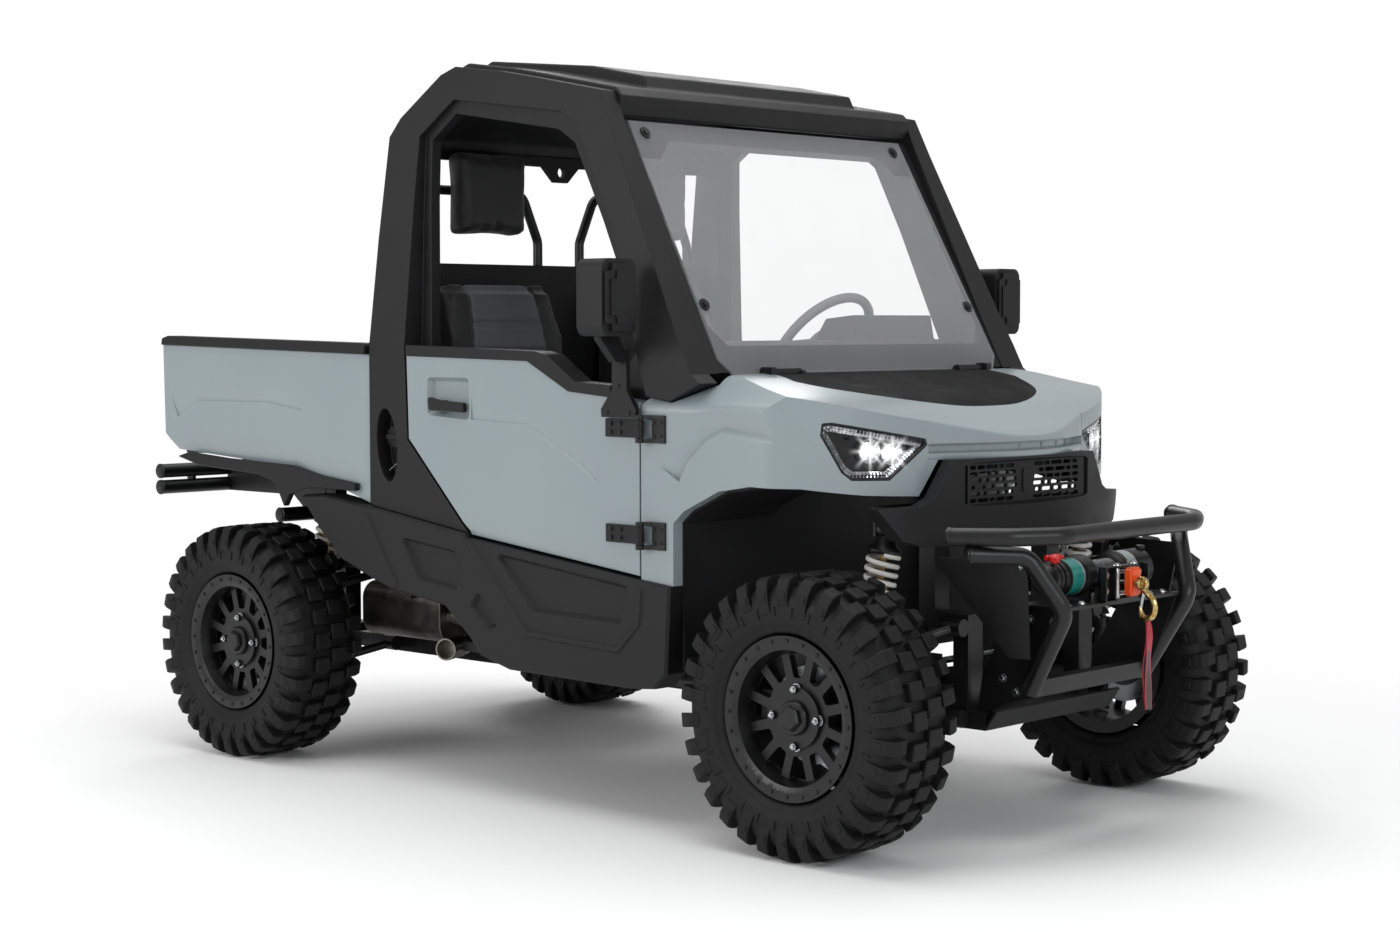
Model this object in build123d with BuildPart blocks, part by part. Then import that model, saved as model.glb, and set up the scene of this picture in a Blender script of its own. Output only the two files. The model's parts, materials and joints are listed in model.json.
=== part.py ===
"""Side-by-side utility vehicle: two-seat cab with half doors, tipping cargo bed and winch bumper.

Millimetres, +Z up.  The vehicle faces -Y, its right side is -X, and the origin is at the
centre of its footprint on the ground.  Every outline below is drawn in one of three section
planes whose origin stands on the ground under the front axle, so a point's first number in
SIDE is its station: the distance behind that axle.
"""
import os
from math import cos, radians, sin

from build123d import *

os.makedirs("parts", exist_ok=True)

# ---------------------------------------------------------------- driving dimensions
WHEELBASE = 2147
FRONT_REACH = 532            # front axle to the tip of the winch hook
REAR_REACH = 642             # rear axle to the back of the rear bumper tubes
TRACK_FRONT = 1314
TRACK_REAR = 1363
TYRE_R = 343                 # out to the tips of the lugs
TYRE_W = 257
RIM_R = 178                  # bead seat
HUB_Z = TYRE_R               # wheel centre above the ground
BODY_X = 700                 # half width of doors, wings and bed
PANEL = 34                   # wall of wings, nose and skirts
DOOR_T = 56                  # whole door, skin to lining
DOOR_GAP = 6                 # shut line round the doors
BED_GAP = 10                 # bed to cab
KINGPIN_IN = 97              # steering axis, inboard of the middle of the tyre
REAR_PIN_IN = 101.5          # ball joints of the rear hub, likewise
TUBE_R = 22                  # bumper tube
BED_PIVOT = (2282, 694)      # station and height of the bed's pivot tube
SEAT_X = 335                 # centre of each seat
STEER_WHEEL_X = 315
SKIN = 5                     # sheet of wind screen and plates

KINGPIN_X = TRACK_FRONT / 2 - KINGPIN_IN
REAR_PIN_X = TRACK_REAR / 2 - REAR_PIN_IN
FRONT_AXLE_Y = -(FRONT_REACH + WHEELBASE + REAR_REACH) / 2 + FRONT_REACH
ORIGIN = (0, FRONT_AXLE_Y, 0)
SIDE = Plane(origin=ORIGIN, x_dir=(0, 1, 0), z_dir=(1, 0, 0))     # station, height
TOP = Plane(origin=ORIGIN, x_dir=(1, 0, 0), z_dir=(0, 0, 1))      # X, station
FRONT = Plane(origin=ORIGIN, x_dir=(1, 0, 0), z_dir=(0, -1, 0))   # X, height; faces forward


def at(x, station, z):
    """A point in the model's frame."""
    return Vector(x, FRONT_AXLE_Y + station, z)


def finish(piece, name):
    """Label a finished piece and write it."""
    piece.part.label = name
    export_step(piece.part, f"parts/{name}.step")


def both_sides(piece):
    """A piece of the right side and its mirror image, as one node."""
    with BuildPart() as pair:
        add(piece.part)
        mirror(piece.part, about=Plane.YZ)
    return pair


def mirrored(piece):
    """The left-hand twin of a right-hand piece."""
    with BuildPart() as twin:
        mirror(piece.part, about=Plane.YZ)
    return twin


def slab(outline, x_near, x_far):
    """A side outline (station, height), extruded between two X planes."""
    with BuildPart() as piece:
        with BuildSketch(SIDE.offset(x_near)):
            with BuildLine():
                Polyline(*outline, close=True)
            make_face()
        extrude(amount=x_far - x_near)
    return piece


def crease(points, x_face, depth, ledge, fade):
    """Cutter for a crease pressed into the right-hand side at x_face.

    It is deepest just beside the line and fades out over the fade: above a line that is drawn
    forwards, below one that is drawn rearwards.
    """
    run = [at(x_face, station, z) for station, z in points]
    forwards = (run[1] - run[0]).normalized()
    with BuildPart() as cutter:
        with BuildLine() as line:
            Polyline(*run)
        with BuildSketch(Plane(origin=run[0], x_dir=Vector(-1, 0, 0).cross(forwards), z_dir=forwards)):
            with BuildLine():
                Polyline(
                    (0, 0), (ledge, -depth), (ledge + fade, 0), (ledge + fade, 3), (0, 3), close=True,
                )
            make_face()
        sweep(path=line.line, transition=Transition.RIGHT)
    return cutter


# ---------------------------------------------------------------- wheels
# Each wheel is a tyre on a one-piece twelve-window rim with its brake disc.
FIT = 0.3                    # between curved faces that meet
RIM_HALF = 106               # middle of the tyre to the face of the bead ring
RING_R = 198                 # bead ring and flange
RIM_WALL = 7
SPOKE_FACE = 72              # outer face of the spokes, out from the middle of the tyre
SPOKE_T = 26
HUB_R = 74
WINDOWS = 12
WINDOW_R = 124               # middle of the windows
WINDOW_LONG = 60
WINDOW_WIDE = 58             # at the rim
STUD_PCD = 137
DISC_R = 118
DISC_T = 6
DISC_OUT = 10                # middle of the tyre to the disc
SPINDLE_R = 24
SPINDLE_OUT = 40             # end of the spindle, out from the middle of the tyre
LUG_H = 19                   # tread blocks above the carcass
PITCHES = 22                 # tread blocks round each shoulder


RADIAL = Plane(origin=(0, 0, 0), x_dir=(0, 0, 1), z_dir=(0, -1, 0))      # up the radius, outboard
OUTBOARD = Plane(origin=(0, 0, 0), x_dir=(0, 0, 1), z_dir=(-1, 0, 0))
AXLE = Axis((0, 0, 0), (-1, 0, 0))

# Right-hand tyre about the origin.  Each pitch has a tread block on the outboard shoulder, then
# one on the inboard shoulder, and is lofted between three planes through the axle.
BLADE = 180 / PITCHES
HALF_W = TYRE_W / 2
BORE = (RIM_R + FIT) / cos(radians(BLADE / 2))
TYRE_SECTION = [
    (BORE, -RIM_HALF + 9), (RING_R + 2, -RIM_HALF + 7), (285, -HALF_W + 8),
    (TYRE_R - 30, -HALF_W + 30), (TYRE_R - LUG_H, -10), (TYRE_R, 4), (TYRE_R, HALF_W - 36),
    (300, HALF_W), (262, HALF_W - 6), (RING_R + 2, RIM_HALF - 7), (BORE, RIM_HALF - 9),
]
with BuildPart() as pitch:
    for first, hand in ((0, 1), (1, -1)):
        for turn in (radians(first * BLADE), radians((first + 1) * BLADE)):
            up = Vector(0, -sin(turn), cos(turn))
            with BuildSketch(Plane(origin=(0, 0, 0), x_dir=up, z_dir=up.cross(OUTBOARD.z_dir))):
                with BuildLine():
                    Polyline(*[(r, hand * out) for r, out in TYRE_SECTION], close=True)
                make_face()
        loft(ruled=True)
with BuildPart() as tyre:
    for step in range(PITCHES):
        add(pitch.part.rotate(AXLE, step * 2 * BLADE))

# Right-hand rim, spokes, hub and brake disc in one piece, bored for the spindle.
with BuildPart() as wheel:
    with BuildSketch(RADIAL):
        with BuildLine():
            Polyline(
                (RIM_R - RIM_WALL - 10, -RIM_HALF), (RING_R - 4, -RIM_HALF),
                (RING_R - 4, -RIM_HALF + 6), (RIM_R, -RIM_HALF + 8), (RIM_R, -70),
                (RIM_R - 14, -56), (RIM_R - 14, 40), (RIM_R, 56), (RIM_R, RIM_HALF - 8),
                (RING_R, RIM_HALF - 6), (RING_R, RIM_HALF), (RING_R - 16, RIM_HALF),
                (RIM_R - RIM_WALL - 8, RIM_HALF - 8), (RIM_R - RIM_WALL - 16, SPOKE_FACE),
                (RIM_R - RIM_WALL - 20, SPOKE_FACE - SPOKE_T), (RIM_R - RIM_WALL - 16, -64),
                close=True,
            )
        make_face()
    revolve(axis=AXLE)
    with BuildSketch(OUTBOARD.offset(SPOKE_FACE - SPOKE_T)):
        Circle(RIM_R - RIM_WALL - 18)
    extrude(amount=SPOKE_T - 6)
    with BuildSketch(OUTBOARD.offset(SPOKE_FACE - SPOKE_T)) as windows:
        with PolarLocations(WINDOW_R, WINDOWS):
            Trapezoid(WINDOW_WIDE, WINDOW_LONG, 75, rotation=90)
        fillet(windows.vertices(), 8)
    extrude(amount=SPOKE_T, mode=Mode.SUBTRACT)
    with BuildSketch(OUTBOARD.offset(DISC_OUT - 6)):
        Circle(HUB_R)
    extrude(amount=SPOKE_FACE - DISC_OUT + 10)
    with BuildSketch(OUTBOARD.offset(DISC_OUT - DISC_T / 2)):
        Circle(DISC_R)
    extrude(amount=DISC_T)
    with Locations(OUTBOARD.offset(SPINDLE_OUT + FIT)):
        Hole(SPINDLE_R + FIT, depth=SPOKE_FACE)
    with BuildSketch(OUTBOARD.offset(SPOKE_FACE + 3)):
        Circle(34)
        with PolarLocations(STUD_PCD / 2, 4):
            RegularPolygon(11, 6)
    extrude(amount=9)

WHEEL_PLACES = {
    "front_right": (-1, TRACK_FRONT, 0),
    "front_left": (1, TRACK_FRONT, 0),
    "rear_right": (-1, TRACK_REAR, WHEELBASE),
    "rear_left": (1, TRACK_REAR, WHEELBASE),
}
for corner, (side, track, station) in WHEEL_PLACES.items():
    for form, kind in ((tyre, "tyre"), (wheel, "wheel")):
        with BuildPart() as placed:
            with Locations(at(-track / 2, station, HUB_Z)):
                add(form.part)
        if side > 0:
            placed = mirrored(placed)
        finish(placed, f"{kind}_{corner}")

# ---------------------------------------------------------------- hubs and steering knuckles
# A knuckle turns on two ball joints, one above and one below the half shaft.  It holds the
# wheel's spindle and the brake caliper.
BALL_UP = 108                # ball joints from the wheel centre
POST_R = 20
RING_OUT = 57                # bearing housing
CV_R = 34
CV_ROOM = 5                  # round the joint, so that the housing can turn about it
HOUSING = (-22, 48)          # housing, from the kingpin to its outboard face
JAW_OUT = 26                 # middle of the disc to the caliper's outer face
ARM_BEHIND = 95              # steering arm's eye, behind the axle
ROD_Z = HUB_Z + 57


def make_hub(x_pin, x_wheel, station, steered):
    """Right-hand hub carrier at x_pin, with the spindle of the wheel at x_wheel."""
    outboard = Plane(origin=at(x_pin, station, HUB_Z), x_dir=(0, 1, 0), z_dir=(-1, 0, 0))
    reach = x_pin - x_wheel + SPINDLE_OUT
    with BuildPart() as hub:
        with BuildSketch(outboard.offset(HOUSING[0])):
            Circle(RING_OUT)
        extrude(amount=HOUSING[1] - HOUSING[0])
        with BuildSketch(TOP.offset(HUB_Z - BALL_UP + 10)):
            with Locations((x_pin, station)):
                Circle(POST_R)
        extrude(amount=2 * BALL_UP - 20)
        with Locations(outboard.offset(HOUSING[0])):
            Hole(CV_R + CV_ROOM, depth=-HOUSING[0] + CV_R + CV_ROOM)
        with BuildSketch(outboard.offset(HOUSING[1] - 1)):
            Circle(SPINDLE_R)
        extrude(amount=reach - HOUSING[1] + 1)
        # caliper: two jaws over the disc, joined outside its rim
        disc_at = x_pin - x_wheel + DISC_OUT
        with BuildSketch(outboard.offset(HOUSING[1] - 14)):
            with Locations((95, -16)):
                Rectangle(92, 70)
        extrude(amount=disc_at - HOUSING[1] + 14 + JAW_OUT)
        with BuildSketch(outboard.offset(disc_at - DISC_T / 2 - 5)):
            Circle(DISC_R + 6)
        extrude(amount=DISC_T + 10, mode=Mode.SUBTRACT)
        with BuildSketch(outboard.offset(HOUSING[1] + 0.01)):
            Circle(84)
        extrude(amount=200, mode=Mode.SUBTRACT)
        with BuildSketch(outboard.offset(HOUSING[1] - 1)):
            Circle(SPINDLE_R)
        extrude(amount=reach - HOUSING[1] + 1)
        if steered:
            with BuildSketch(TOP.offset(ROD_Z - 26)):
                with BuildLine():
                    Polyline(
                        (x_pin - 16, station + 20), (x_pin + 4, station + ARM_BEHIND + 14),
                        (x_pin + 30, station + ARM_BEHIND + 14), (x_pin + 16, station + 10),
                        close=True,
                    )
                make_face()
            extrude(amount=16)
    return hub


knuckle_right = make_hub(-KINGPIN_X, -TRACK_FRONT / 2, 0, steered=True)
finish(knuckle_right, "knuckle_right")
knuckle_left = mirrored(knuckle_right)
finish(knuckle_left, "knuckle_left")
rear_hub = make_hub(-REAR_PIN_X, -TRACK_REAR / 2, WHEELBASE, steered=False)
rear_hubs = both_sides(rear_hub)
finish(rear_hubs, "rear_hubs")

# ---------------------------------------------------------------- steering rods
RACK_Z = ROD_Z
ROD_R = 9
EYE_R = 16
with BuildPart() as track_rods:
    eye_x = KINGPIN_X - 17
    with BuildSketch(Plane(origin=at(-eye_x, ARM_BEHIND, RACK_Z), z_dir=(1, 0, 0))):
        Circle(ROD_R)
    extrude(amount=2 * eye_x)
    with BuildSketch(TOP.offset(RACK_Z - 10)):
        with Locations((-eye_x, ARM_BEHIND), (eye_x, ARM_BEHIND)):
            Circle(EYE_R)
    extrude(amount=20)
finish(track_rods, "track_rods")

# ---------------------------------------------------------------- frame
# Welded box-section frame: two long rails, cross-members, uprights at the arms, shock towers
# front and rear, and the transverse tube that the bed tips on.
RAIL_X = 240                 # centre of each rail
RAIL_W = 60
RAIL_Z = (285, 322)
FLOOR_Z = 396                # top of the cab floor
FLOOR_T = 26
RAIL_END = 2440
RAIL_FRONT = -215
SPREAD = 140                 # half distance between an arm's inner pivots
UPRIGHT_Z = 560
TOWER_Z = 800                # underside of the shock towers' cross-bars
TOWER_S = -35                # shock towers, from their axle
TOWER_T = 28
SHOCK_HEAD = (410, -22, 772)         # X, station from the axle, height
EAR_T = 8
CAB_BACK = 1606              # rear edge of the cab at the bed
TUB_BACK = CAB_BACK - 26
BED_REST = CAB_BACK + 94     # front pads that the bed rests on
BED_FLOOR_Z = 884            # underside of the bed's floor
ARM_TUBE = 13
EYE_W = 40                   # width of a shock's eye
GUIDE_X = 60                 # guides of the steering rods: inner face and width
GUIDE_W = 60
with BuildPart() as frame:
    with BuildSketch(TOP.offset(RAIL_Z[0])):
        mid_rail = (RAIL_FRONT + RAIL_END) / 2
        with Locations((-RAIL_X, mid_rail), (RAIL_X, mid_rail)):
            Rectangle(RAIL_W, RAIL_END - RAIL_FRONT)
        with Locations(*[(0, s) for s in (-180, 60, 480, 1050, 1580, 2040, 2400)]):
            Rectangle(2 * RAIL_X, 50)
    extrude(amount=RAIL_Z[1] - RAIL_Z[0])
    with BuildSketch(TOP.offset(RAIL_Z[1])):
        with Locations(*[(x, s) for x in (-RAIL_X, RAIL_X) for s in (480, 1050, 1560)]):
            Rectangle(RAIL_W, 50)
    extrude(amount=FLOOR_Z - FLOOR_T - RAIL_Z[1])
    with BuildSketch(TOP.offset(RAIL_Z[1])):
        for axle in (0, WHEELBASE):
            for x in (-RAIL_X, RAIL_X):
                with Locations((x, axle - SPREAD), (x, axle + SPREAD)):
                    Rectangle(RAIL_W, 46)
    extrude(amount=UPRIGHT_Z - RAIL_Z[1])
    with BuildSketch(TOP.offset(UPRIGHT_Z - 40)):
        for axle in (0, WHEELBASE):
            with Locations((-RAIL_X, axle), (RAIL_X, axle)):
                Rectangle(RAIL_W, 2 * SPREAD)
    extrude(amount=40)
    with BuildSketch(TOP.offset(UPRIGHT_Z - 1)):
        for axle in (0, WHEELBASE):
            with Locations((-RAIL_X, axle + TOWER_S), (RAIL_X, axle + TOWER_S)):
                Rectangle(RAIL_W, 50)
    extrude(amount=TOWER_Z - UPRIGHT_Z + 2)
    with BuildSketch(SIDE.offset(-SHOCK_HEAD[0] - 30)):
        for axle in (0, WHEELBASE):
            with Locations((axle + SHOCK_HEAD[1], TOWER_Z + TOWER_T / 2)):
                Rectangle(EYE_W + 2 * EAR_T + 2, TOWER_T)
    extrude(amount=2 * (SHOCK_HEAD[0] + 30))
    for axle in (0, WHEELBASE):
        for x in (-SHOCK_HEAD[0], SHOCK_HEAD[0]):
            pin_start = axle + SHOCK_HEAD[1] - EYE_W / 2 - 1 - EAR_T
            with BuildSketch(FRONT.offset(-pin_start)):
                with Locations((x, SHOCK_HEAD[2])):
                    Circle(ARM_TUBE)
            extrude(amount=-(EYE_W + 2 + 2 * EAR_T))
            for ear in (pin_start, pin_start + EYE_W + 2 + EAR_T):
                with BuildSketch(FRONT.offset(-ear)):
                    with Locations((x, (TOWER_Z + SHOCK_HEAD[2] - 16) / 2)):
                        Rectangle(44, TOWER_Z - SHOCK_HEAD[2] + 18)
                extrude(amount=-EAR_T)
    # pivot tube of the bed, and the pads that hold the bed's front
    with BuildSketch(TOP.offset(RAIL_Z[1])):
        with Locations((-RAIL_X, BED_PIVOT[0]), (RAIL_X, BED_PIVOT[0])):
            Rectangle(RAIL_W, 60)
    extrude(amount=BED_PIVOT[1] - RAIL_Z[1])
    with BuildSketch(SIDE.offset(-500)):
        with Locations(BED_PIVOT):
            Circle(TUBE_R)
    extrude(amount=1000)
    with BuildSketch(TOP.offset(RAIL_Z[1])):
        with Locations((-RAIL_X, BED_REST), (RAIL_X, BED_REST)):
            Rectangle(RAIL_W, 60)
    extrude(amount=BED_FLOOR_Z - RAIL_Z[1])
    # two guides of the steering rods, on a cross-member
    for x in (-GUIDE_X - GUIDE_W, GUIDE_X):
        with BuildSketch(SIDE.offset(x)):
            with Locations((ARM_BEHIND, (RAIL_Z[0] + RACK_Z + 22) / 2)):
                Rectangle(40, RACK_Z + 22 - RAIL_Z[0])
            with Locations((ARM_BEHIND, RACK_Z)):
                Circle(ROD_R + FIT, mode=Mode.SUBTRACT)
        extrude(amount=GUIDE_W)
finish(frame, "frame")

SKID_T = 6
with BuildPart() as skid_plate:
    with BuildSketch(SIDE.offset(-RAIL_X - 30)):
        with BuildLine():
            Polyline(
                (RAIL_FRONT - 36, 328), (RAIL_FRONT - 2, RAIL_Z[0] - SKID_T),
                (RAIL_END, RAIL_Z[0] - SKID_T), (RAIL_END, RAIL_Z[0]),
                (RAIL_FRONT, RAIL_Z[0]), (RAIL_FRONT - 30, 332), close=True,
            )
        make_face()
    extrude(amount=2 * RAIL_X + 60)
finish(skid_plate, "skid_plate")

# ---------------------------------------------------------------- suspension
# Double arms at each corner.  The upper arm carries the foot of its coil-over shock.
BOSS_R = 26
BOSS_T = 28
BUSH_R = 22
BUSH_X = RAIL_X + RAIL_W / 2 + BUSH_R + FIT
ARM_UP_Z = 530                       # inner pivots
ARM_LOW_Z = 305
SHOCK_FOOT = (436, 12, 498)          # X, station from the axle, height


def make_arm(x_pin, station, z_pin, z_inner, foot=None):
    """An A-arm: two tubes from the ball joint's boss to the frame, and a cross-tube."""
    with BuildPart() as arm:
        with BuildSketch(TOP.offset(z_pin)):
            with Locations((-x_pin, station)):
                Circle(BOSS_R)
        extrude(amount=BOSS_T)
        tip = at(-x_pin + BOSS_R - 4, station, z_pin + BOSS_T / 2)
        for end in (-1, 1):
            root = at(-BUSH_X, station + end * SPREAD, z_inner)
            with BuildSketch(Plane(origin=tip, z_dir=root - tip)):
                Circle(ARM_TUBE)
            extrude(amount=(root - tip).length)
            with BuildSketch(Plane(origin=root - Vector(0, 26, 0), z_dir=(0, 1, 0))):
                Circle(BUSH_R)
            extrude(amount=52)
        if foot:
            cross = at(-foot[0], station + foot[1] - 74, foot[2])
            with BuildSketch(Plane(origin=cross, z_dir=(0, 1, 0))):
                Circle(ARM_TUBE)
            extrude(amount=148)
    return arm


def make_shock(head, foot):
    """Coil-over shock: damper, spring with its turns, and an eye at each end."""
    line = head - foot
    axis = Axis(foot, line)
    across = Vector(0, 1, 0).cross(line).normalized()
    length = line.length
    turns = 7
    pitch = (length - 96) / turns
    coil_r, wire = 37, 6.5
    with BuildPart() as shock:
        with BuildSketch(Plane(origin=foot, x_dir=across, z_dir=across.cross(line))):
            with BuildLine():
                Polyline((0, 20), (26, 20), (26, 30), (40, 30), (40, 40), (0, 40), close=True)
            make_face()
            with BuildLine():
                Polyline(
                    (0, length - 32), (24, length - 32), (42, length - 48), (42, length - 54),
                    (0, length - 54), close=True,
                )
            make_face()
            with BuildLine():
                Polyline((0, 16), (18, 16), (18, length - 16), (0, length - 16), close=True)
            make_face()
            with Locations(*[(coil_r - 10, 44 + pitch * (i + 0.4)) for i in range(turns)]):
                Rectangle(2 * wire + 14, 2 * wire)
        revolve(axis=axis)
        for eye in (foot, head):
            with BuildSketch(Plane(origin=eye - Vector(0, 20, 0), z_dir=(0, 1, 0))):
                Circle(22)
                Circle(ARM_TUBE + FIT, mode=Mode.SUBTRACT)
            extrude(amount=40)
            with BuildSketch(Plane(origin=eye - Vector(0, 40, 0), z_dir=(0, 1, 0))):
                Circle(ARM_TUBE + FIT)
            extrude(amount=80, mode=Mode.SUBTRACT)
    return shock


HUB_HALF = BALL_UP - 10              # half height of a hub's post
upper_front = make_arm(KINGPIN_X, 0, HUB_Z + HUB_HALF, ARM_UP_Z, SHOCK_FOOT)
lower_front = make_arm(KINGPIN_X, 0, HUB_Z - HUB_HALF - BOSS_T, ARM_LOW_Z)
upper_rear = make_arm(REAR_PIN_X, WHEELBASE, HUB_Z + HUB_HALF, ARM_UP_Z, SHOCK_FOOT)
lower_rear = make_arm(REAR_PIN_X, WHEELBASE, HUB_Z - HUB_HALF - BOSS_T, ARM_LOW_Z)
for arm_name, upper, lower in (
    ("front_arms", upper_front, lower_front),
    ("rear_arms", upper_rear, lower_rear),
):
    with BuildPart() as arms:
        for arm in (upper, lower):
            add(arm.part)
            mirror(arm.part, about=Plane.YZ)
    finish(arms, arm_name)

with BuildPart() as shocks:
    for axle in (0, WHEELBASE):
        head = at(-SHOCK_HEAD[0], axle + SHOCK_HEAD[1], SHOCK_HEAD[2])
        foot = at(-SHOCK_FOOT[0], axle + SHOCK_FOOT[1], SHOCK_FOOT[2])
        shock = make_shock(head, foot).part
        add(shock)
        mirror(shock, about=Plane.YZ)
finish(shocks, "shocks")

# ---------------------------------------------------------------- drive
# Gear housings between the rails, half shafts out to the hubs, and the power unit behind the
# cab as one block.
SHAFT_R = 14
PROP_Z = HUB_Z + 2           # propeller shaft
with BuildPart() as driveline:
    for axle, pin_x in ((0, KINGPIN_X), (WHEELBASE, REAR_PIN_X)):
        with BuildSketch(Plane(origin=at(-pin_x, axle, HUB_Z), z_dir=(1, 0, 0))):
            Circle(SHAFT_R)
        extrude(amount=2 * pin_x)
        with Locations(at(0, axle, HUB_Z + 12)):
            Box(200, 130, 66)
        with Locations(at(-pin_x, axle, HUB_Z), at(pin_x, axle, HUB_Z)):
            Sphere(CV_R)
        for x in (-170, 130):
            with BuildSketch(Plane(origin=at(x, axle, HUB_Z), z_dir=(1, 0, 0))):
                Circle(18)
            extrude(amount=40)
    with BuildSketch(FRONT.offset(-60)):
        with Locations((0, PROP_Z)):
            Circle(SHAFT_R)
    extrude(amount=-(1700 - 60))
    with BuildSketch(FRONT.offset(-2040)):
        with Locations((0, PROP_Z)):
            Circle(SHAFT_R)
    extrude(amount=-(WHEELBASE - 2040))
finish(driveline, "driveline")

ENGINE = ((-190, TUB_BACK + 70), (190, WHEELBASE - 87), (RAIL_Z[1], 790))
with BuildPart() as engine:
    with BuildSketch(TOP.offset(ENGINE[2][0])):
        with Locations(((ENGINE[0][0] + ENGINE[1][0]) / 2, (ENGINE[0][1] + ENGINE[1][1]) / 2)):
            Rectangle(ENGINE[1][0] - ENGINE[0][0], ENGINE[1][1] - ENGINE[0][1])
    extrude(amount=ENGINE[2][1] - ENGINE[2][0])
    with BuildSketch(FRONT.offset(-ENGINE[0][1])):
        with Locations((0, PROP_Z)):
            Circle(SHAFT_R)
    extrude(amount=-(ENGINE[1][1] - ENGINE[0][1]), mode=Mode.SUBTRACT)
finish(engine, "engine")


# ---------------------------------------------------------------- exhaust and fuel tank
SILENCER = (-400, 1600, 430)         # middle of its front end
SILENCER_END = WHEELBASE - 197
TAIL_PIPE = (-600, 1375, 375)
with BuildPart() as exhaust:
    with BuildSketch(Plane(origin=at(*SILENCER), z_dir=(0, 1, 0))):
        SlotCenterToCenter(60, 100)
    extrude(amount=SILENCER_END - SILENCER[1])
    start = at(SILENCER[0], SILENCER[1] + 2, SILENCER[2])
    bend = at(SILENCER[0], SILENCER[1] - 110, SILENCER[2] - 20)
    elbow = at(TAIL_PIPE[0] + 90, TAIL_PIPE[1] + 40, TAIL_PIPE[2])
    outlet = at(*TAIL_PIPE)
    with BuildLine() as tail_run:
        FilletPolyline(start, bend, elbow, outlet, radius=36)
    with BuildSketch(Plane(origin=start, z_dir=bend - start)):
        Circle(20)
    sweep(path=tail_run.line)
    with BuildSketch(Plane(origin=outlet, z_dir=outlet - elbow)):
        Circle(31)
    extrude(amount=44, both=True)
    with BuildSketch(Plane(origin=outlet, z_dir=outlet - elbow)):
        Circle(26)
    extrude(amount=60, mode=Mode.SUBTRACT)
    # hanger to the post that carries the bed's front
    hanger_near = -RAIL_X - RAIL_W / 2
    with BuildSketch(SIDE.offset(SILENCER[0] + 40)):
        with Locations((BED_REST, SILENCER[2])):
            Rectangle(20, 30)
    extrude(amount=hanger_near - SILENCER[0] - 40)
finish(exhaust, "exhaust")

# ---------------------------------------------------------------- cab body
# Cab sides: one moulded arch each side, leaning in towards the roof, with a stepped reveal
# round the window and a door opening below it.
LEAN_FOOT = 1216             # below this height the sides are upright
LEAN_TOP = (646, 2000)       # half width and height at the top of the lean
CAB_WALL = 100               # cab side, outer face to lining
REVEAL = 66                  # outer face to the step of the window reveal
FILLER = (1531, 940)         # station and height of the fuel filler's recess
FILLER_WIDE = 42             # half sizes of the recess
FILLER_TALL = 102
FILLER_TURN = -6
FILLER_DEEP = 48
with BuildPart() as cab_side:
    with BuildSketch(SIDE.offset(-BODY_X)):
        with BuildLine():
            Polyline(
                (CAB_BACK, 775), (CAB_BACK, 1216), (1585, 1512), (1557, 1798), (1513, 1848),
                (1352, 1956), (1292, 1975), (1109, 1950), (991, 1928), (726, 1876), (676, 1768),
                (562, 1536), (450, 1310), (365, 1150), (336, 1128), (442, 1082), (524, 1093),
                (631, 1445), (675, 1542), (806, 1786), (870, 1828), (1293, 1885), (1428, 1793),
                (1439, 1619), (1454, 1216), (1443, 957), (1194, 712), (1590, 766), close=True,
            )
        make_face()
    extrude(amount=REVEAL)
    with BuildSketch(SIDE.offset(-BODY_X + REVEAL)):
        with BuildLine():
            Polyline(
                (CAB_BACK, 775), (CAB_BACK, 1216), (1585, 1512), (1557, 1798), (1513, 1848),
                (1352, 1956), (1292, 1975), (1109, 1950), (991, 1928), (726, 1876), (676, 1768),
                (562, 1536), (450, 1310), (365, 1150), (480, 1150), (560, 1150),
                (740, 1546), (842, 1747), (903, 1785), (1305, 1849), (1404, 1781),
                (1411, 1620), (1413, 1216), (1400, 957), (1210, 770), (1580, 770), close=True,
            )
        make_face()
    extrude(amount=CAB_WALL - REVEAL)
    with BuildSketch(FRONT.offset(-1700)):
        with BuildLine():
            Polyline(
                (-BODY_X, 700), (-BODY_X, LEAN_FOOT), (-LEAN_TOP[0], LEAN_TOP[1]),
                (-500, LEAN_TOP[1]), (-500, 700), close=True,
            )
        make_face()
    extrude(amount=1700, mode=Mode.INTERSECT)
    with BuildSketch(SIDE.offset(-BODY_X)):
        with Locations(FILLER):
            Ellipse(FILLER_WIDE, FILLER_TALL, rotation=FILLER_TURN)
    extrude(amount=FILLER_DEEP, mode=Mode.SUBTRACT)
cab_sides = both_sides(cab_side)
finish(cab_sides, "cab_sides")

CAB_IN = BODY_X - CAB_WALL           # half width inside the cab

# Roof: a panel between the cab sides with a raised middle.
with BuildPart() as roof:
    with BuildSketch(SIDE.offset(-CAB_IN)):
        with BuildLine():
            Polyline(
                (700, 1862), (726, 1888), (991, 1940), (1109, 1962), (1292, 1988), (1352, 1968),
                (1513, 1860), (1557, 1812), (1566, 1770), (1536, 1770), (1526, 1800),
                (1490, 1838), (1340, 1935), (1290, 1950), (1109, 1926), (740, 1850), (740, 1812),
                (722, 1812), close=True,
            )
        make_face()
    extrude(amount=2 * CAB_IN)
    with BuildSketch(SIDE.offset(-430)):
        with BuildLine():
            Polyline(
                (770, 1890), (790, 1932), (985, 1972), (1386, 2013), (1440, 1990), (1520, 1900),
                (1500, 1860), (1300, 1960), (1100, 1940), close=True,
            )
        make_face()
    extrude(amount=860, taper=0)
finish(roof, "roof")

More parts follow.
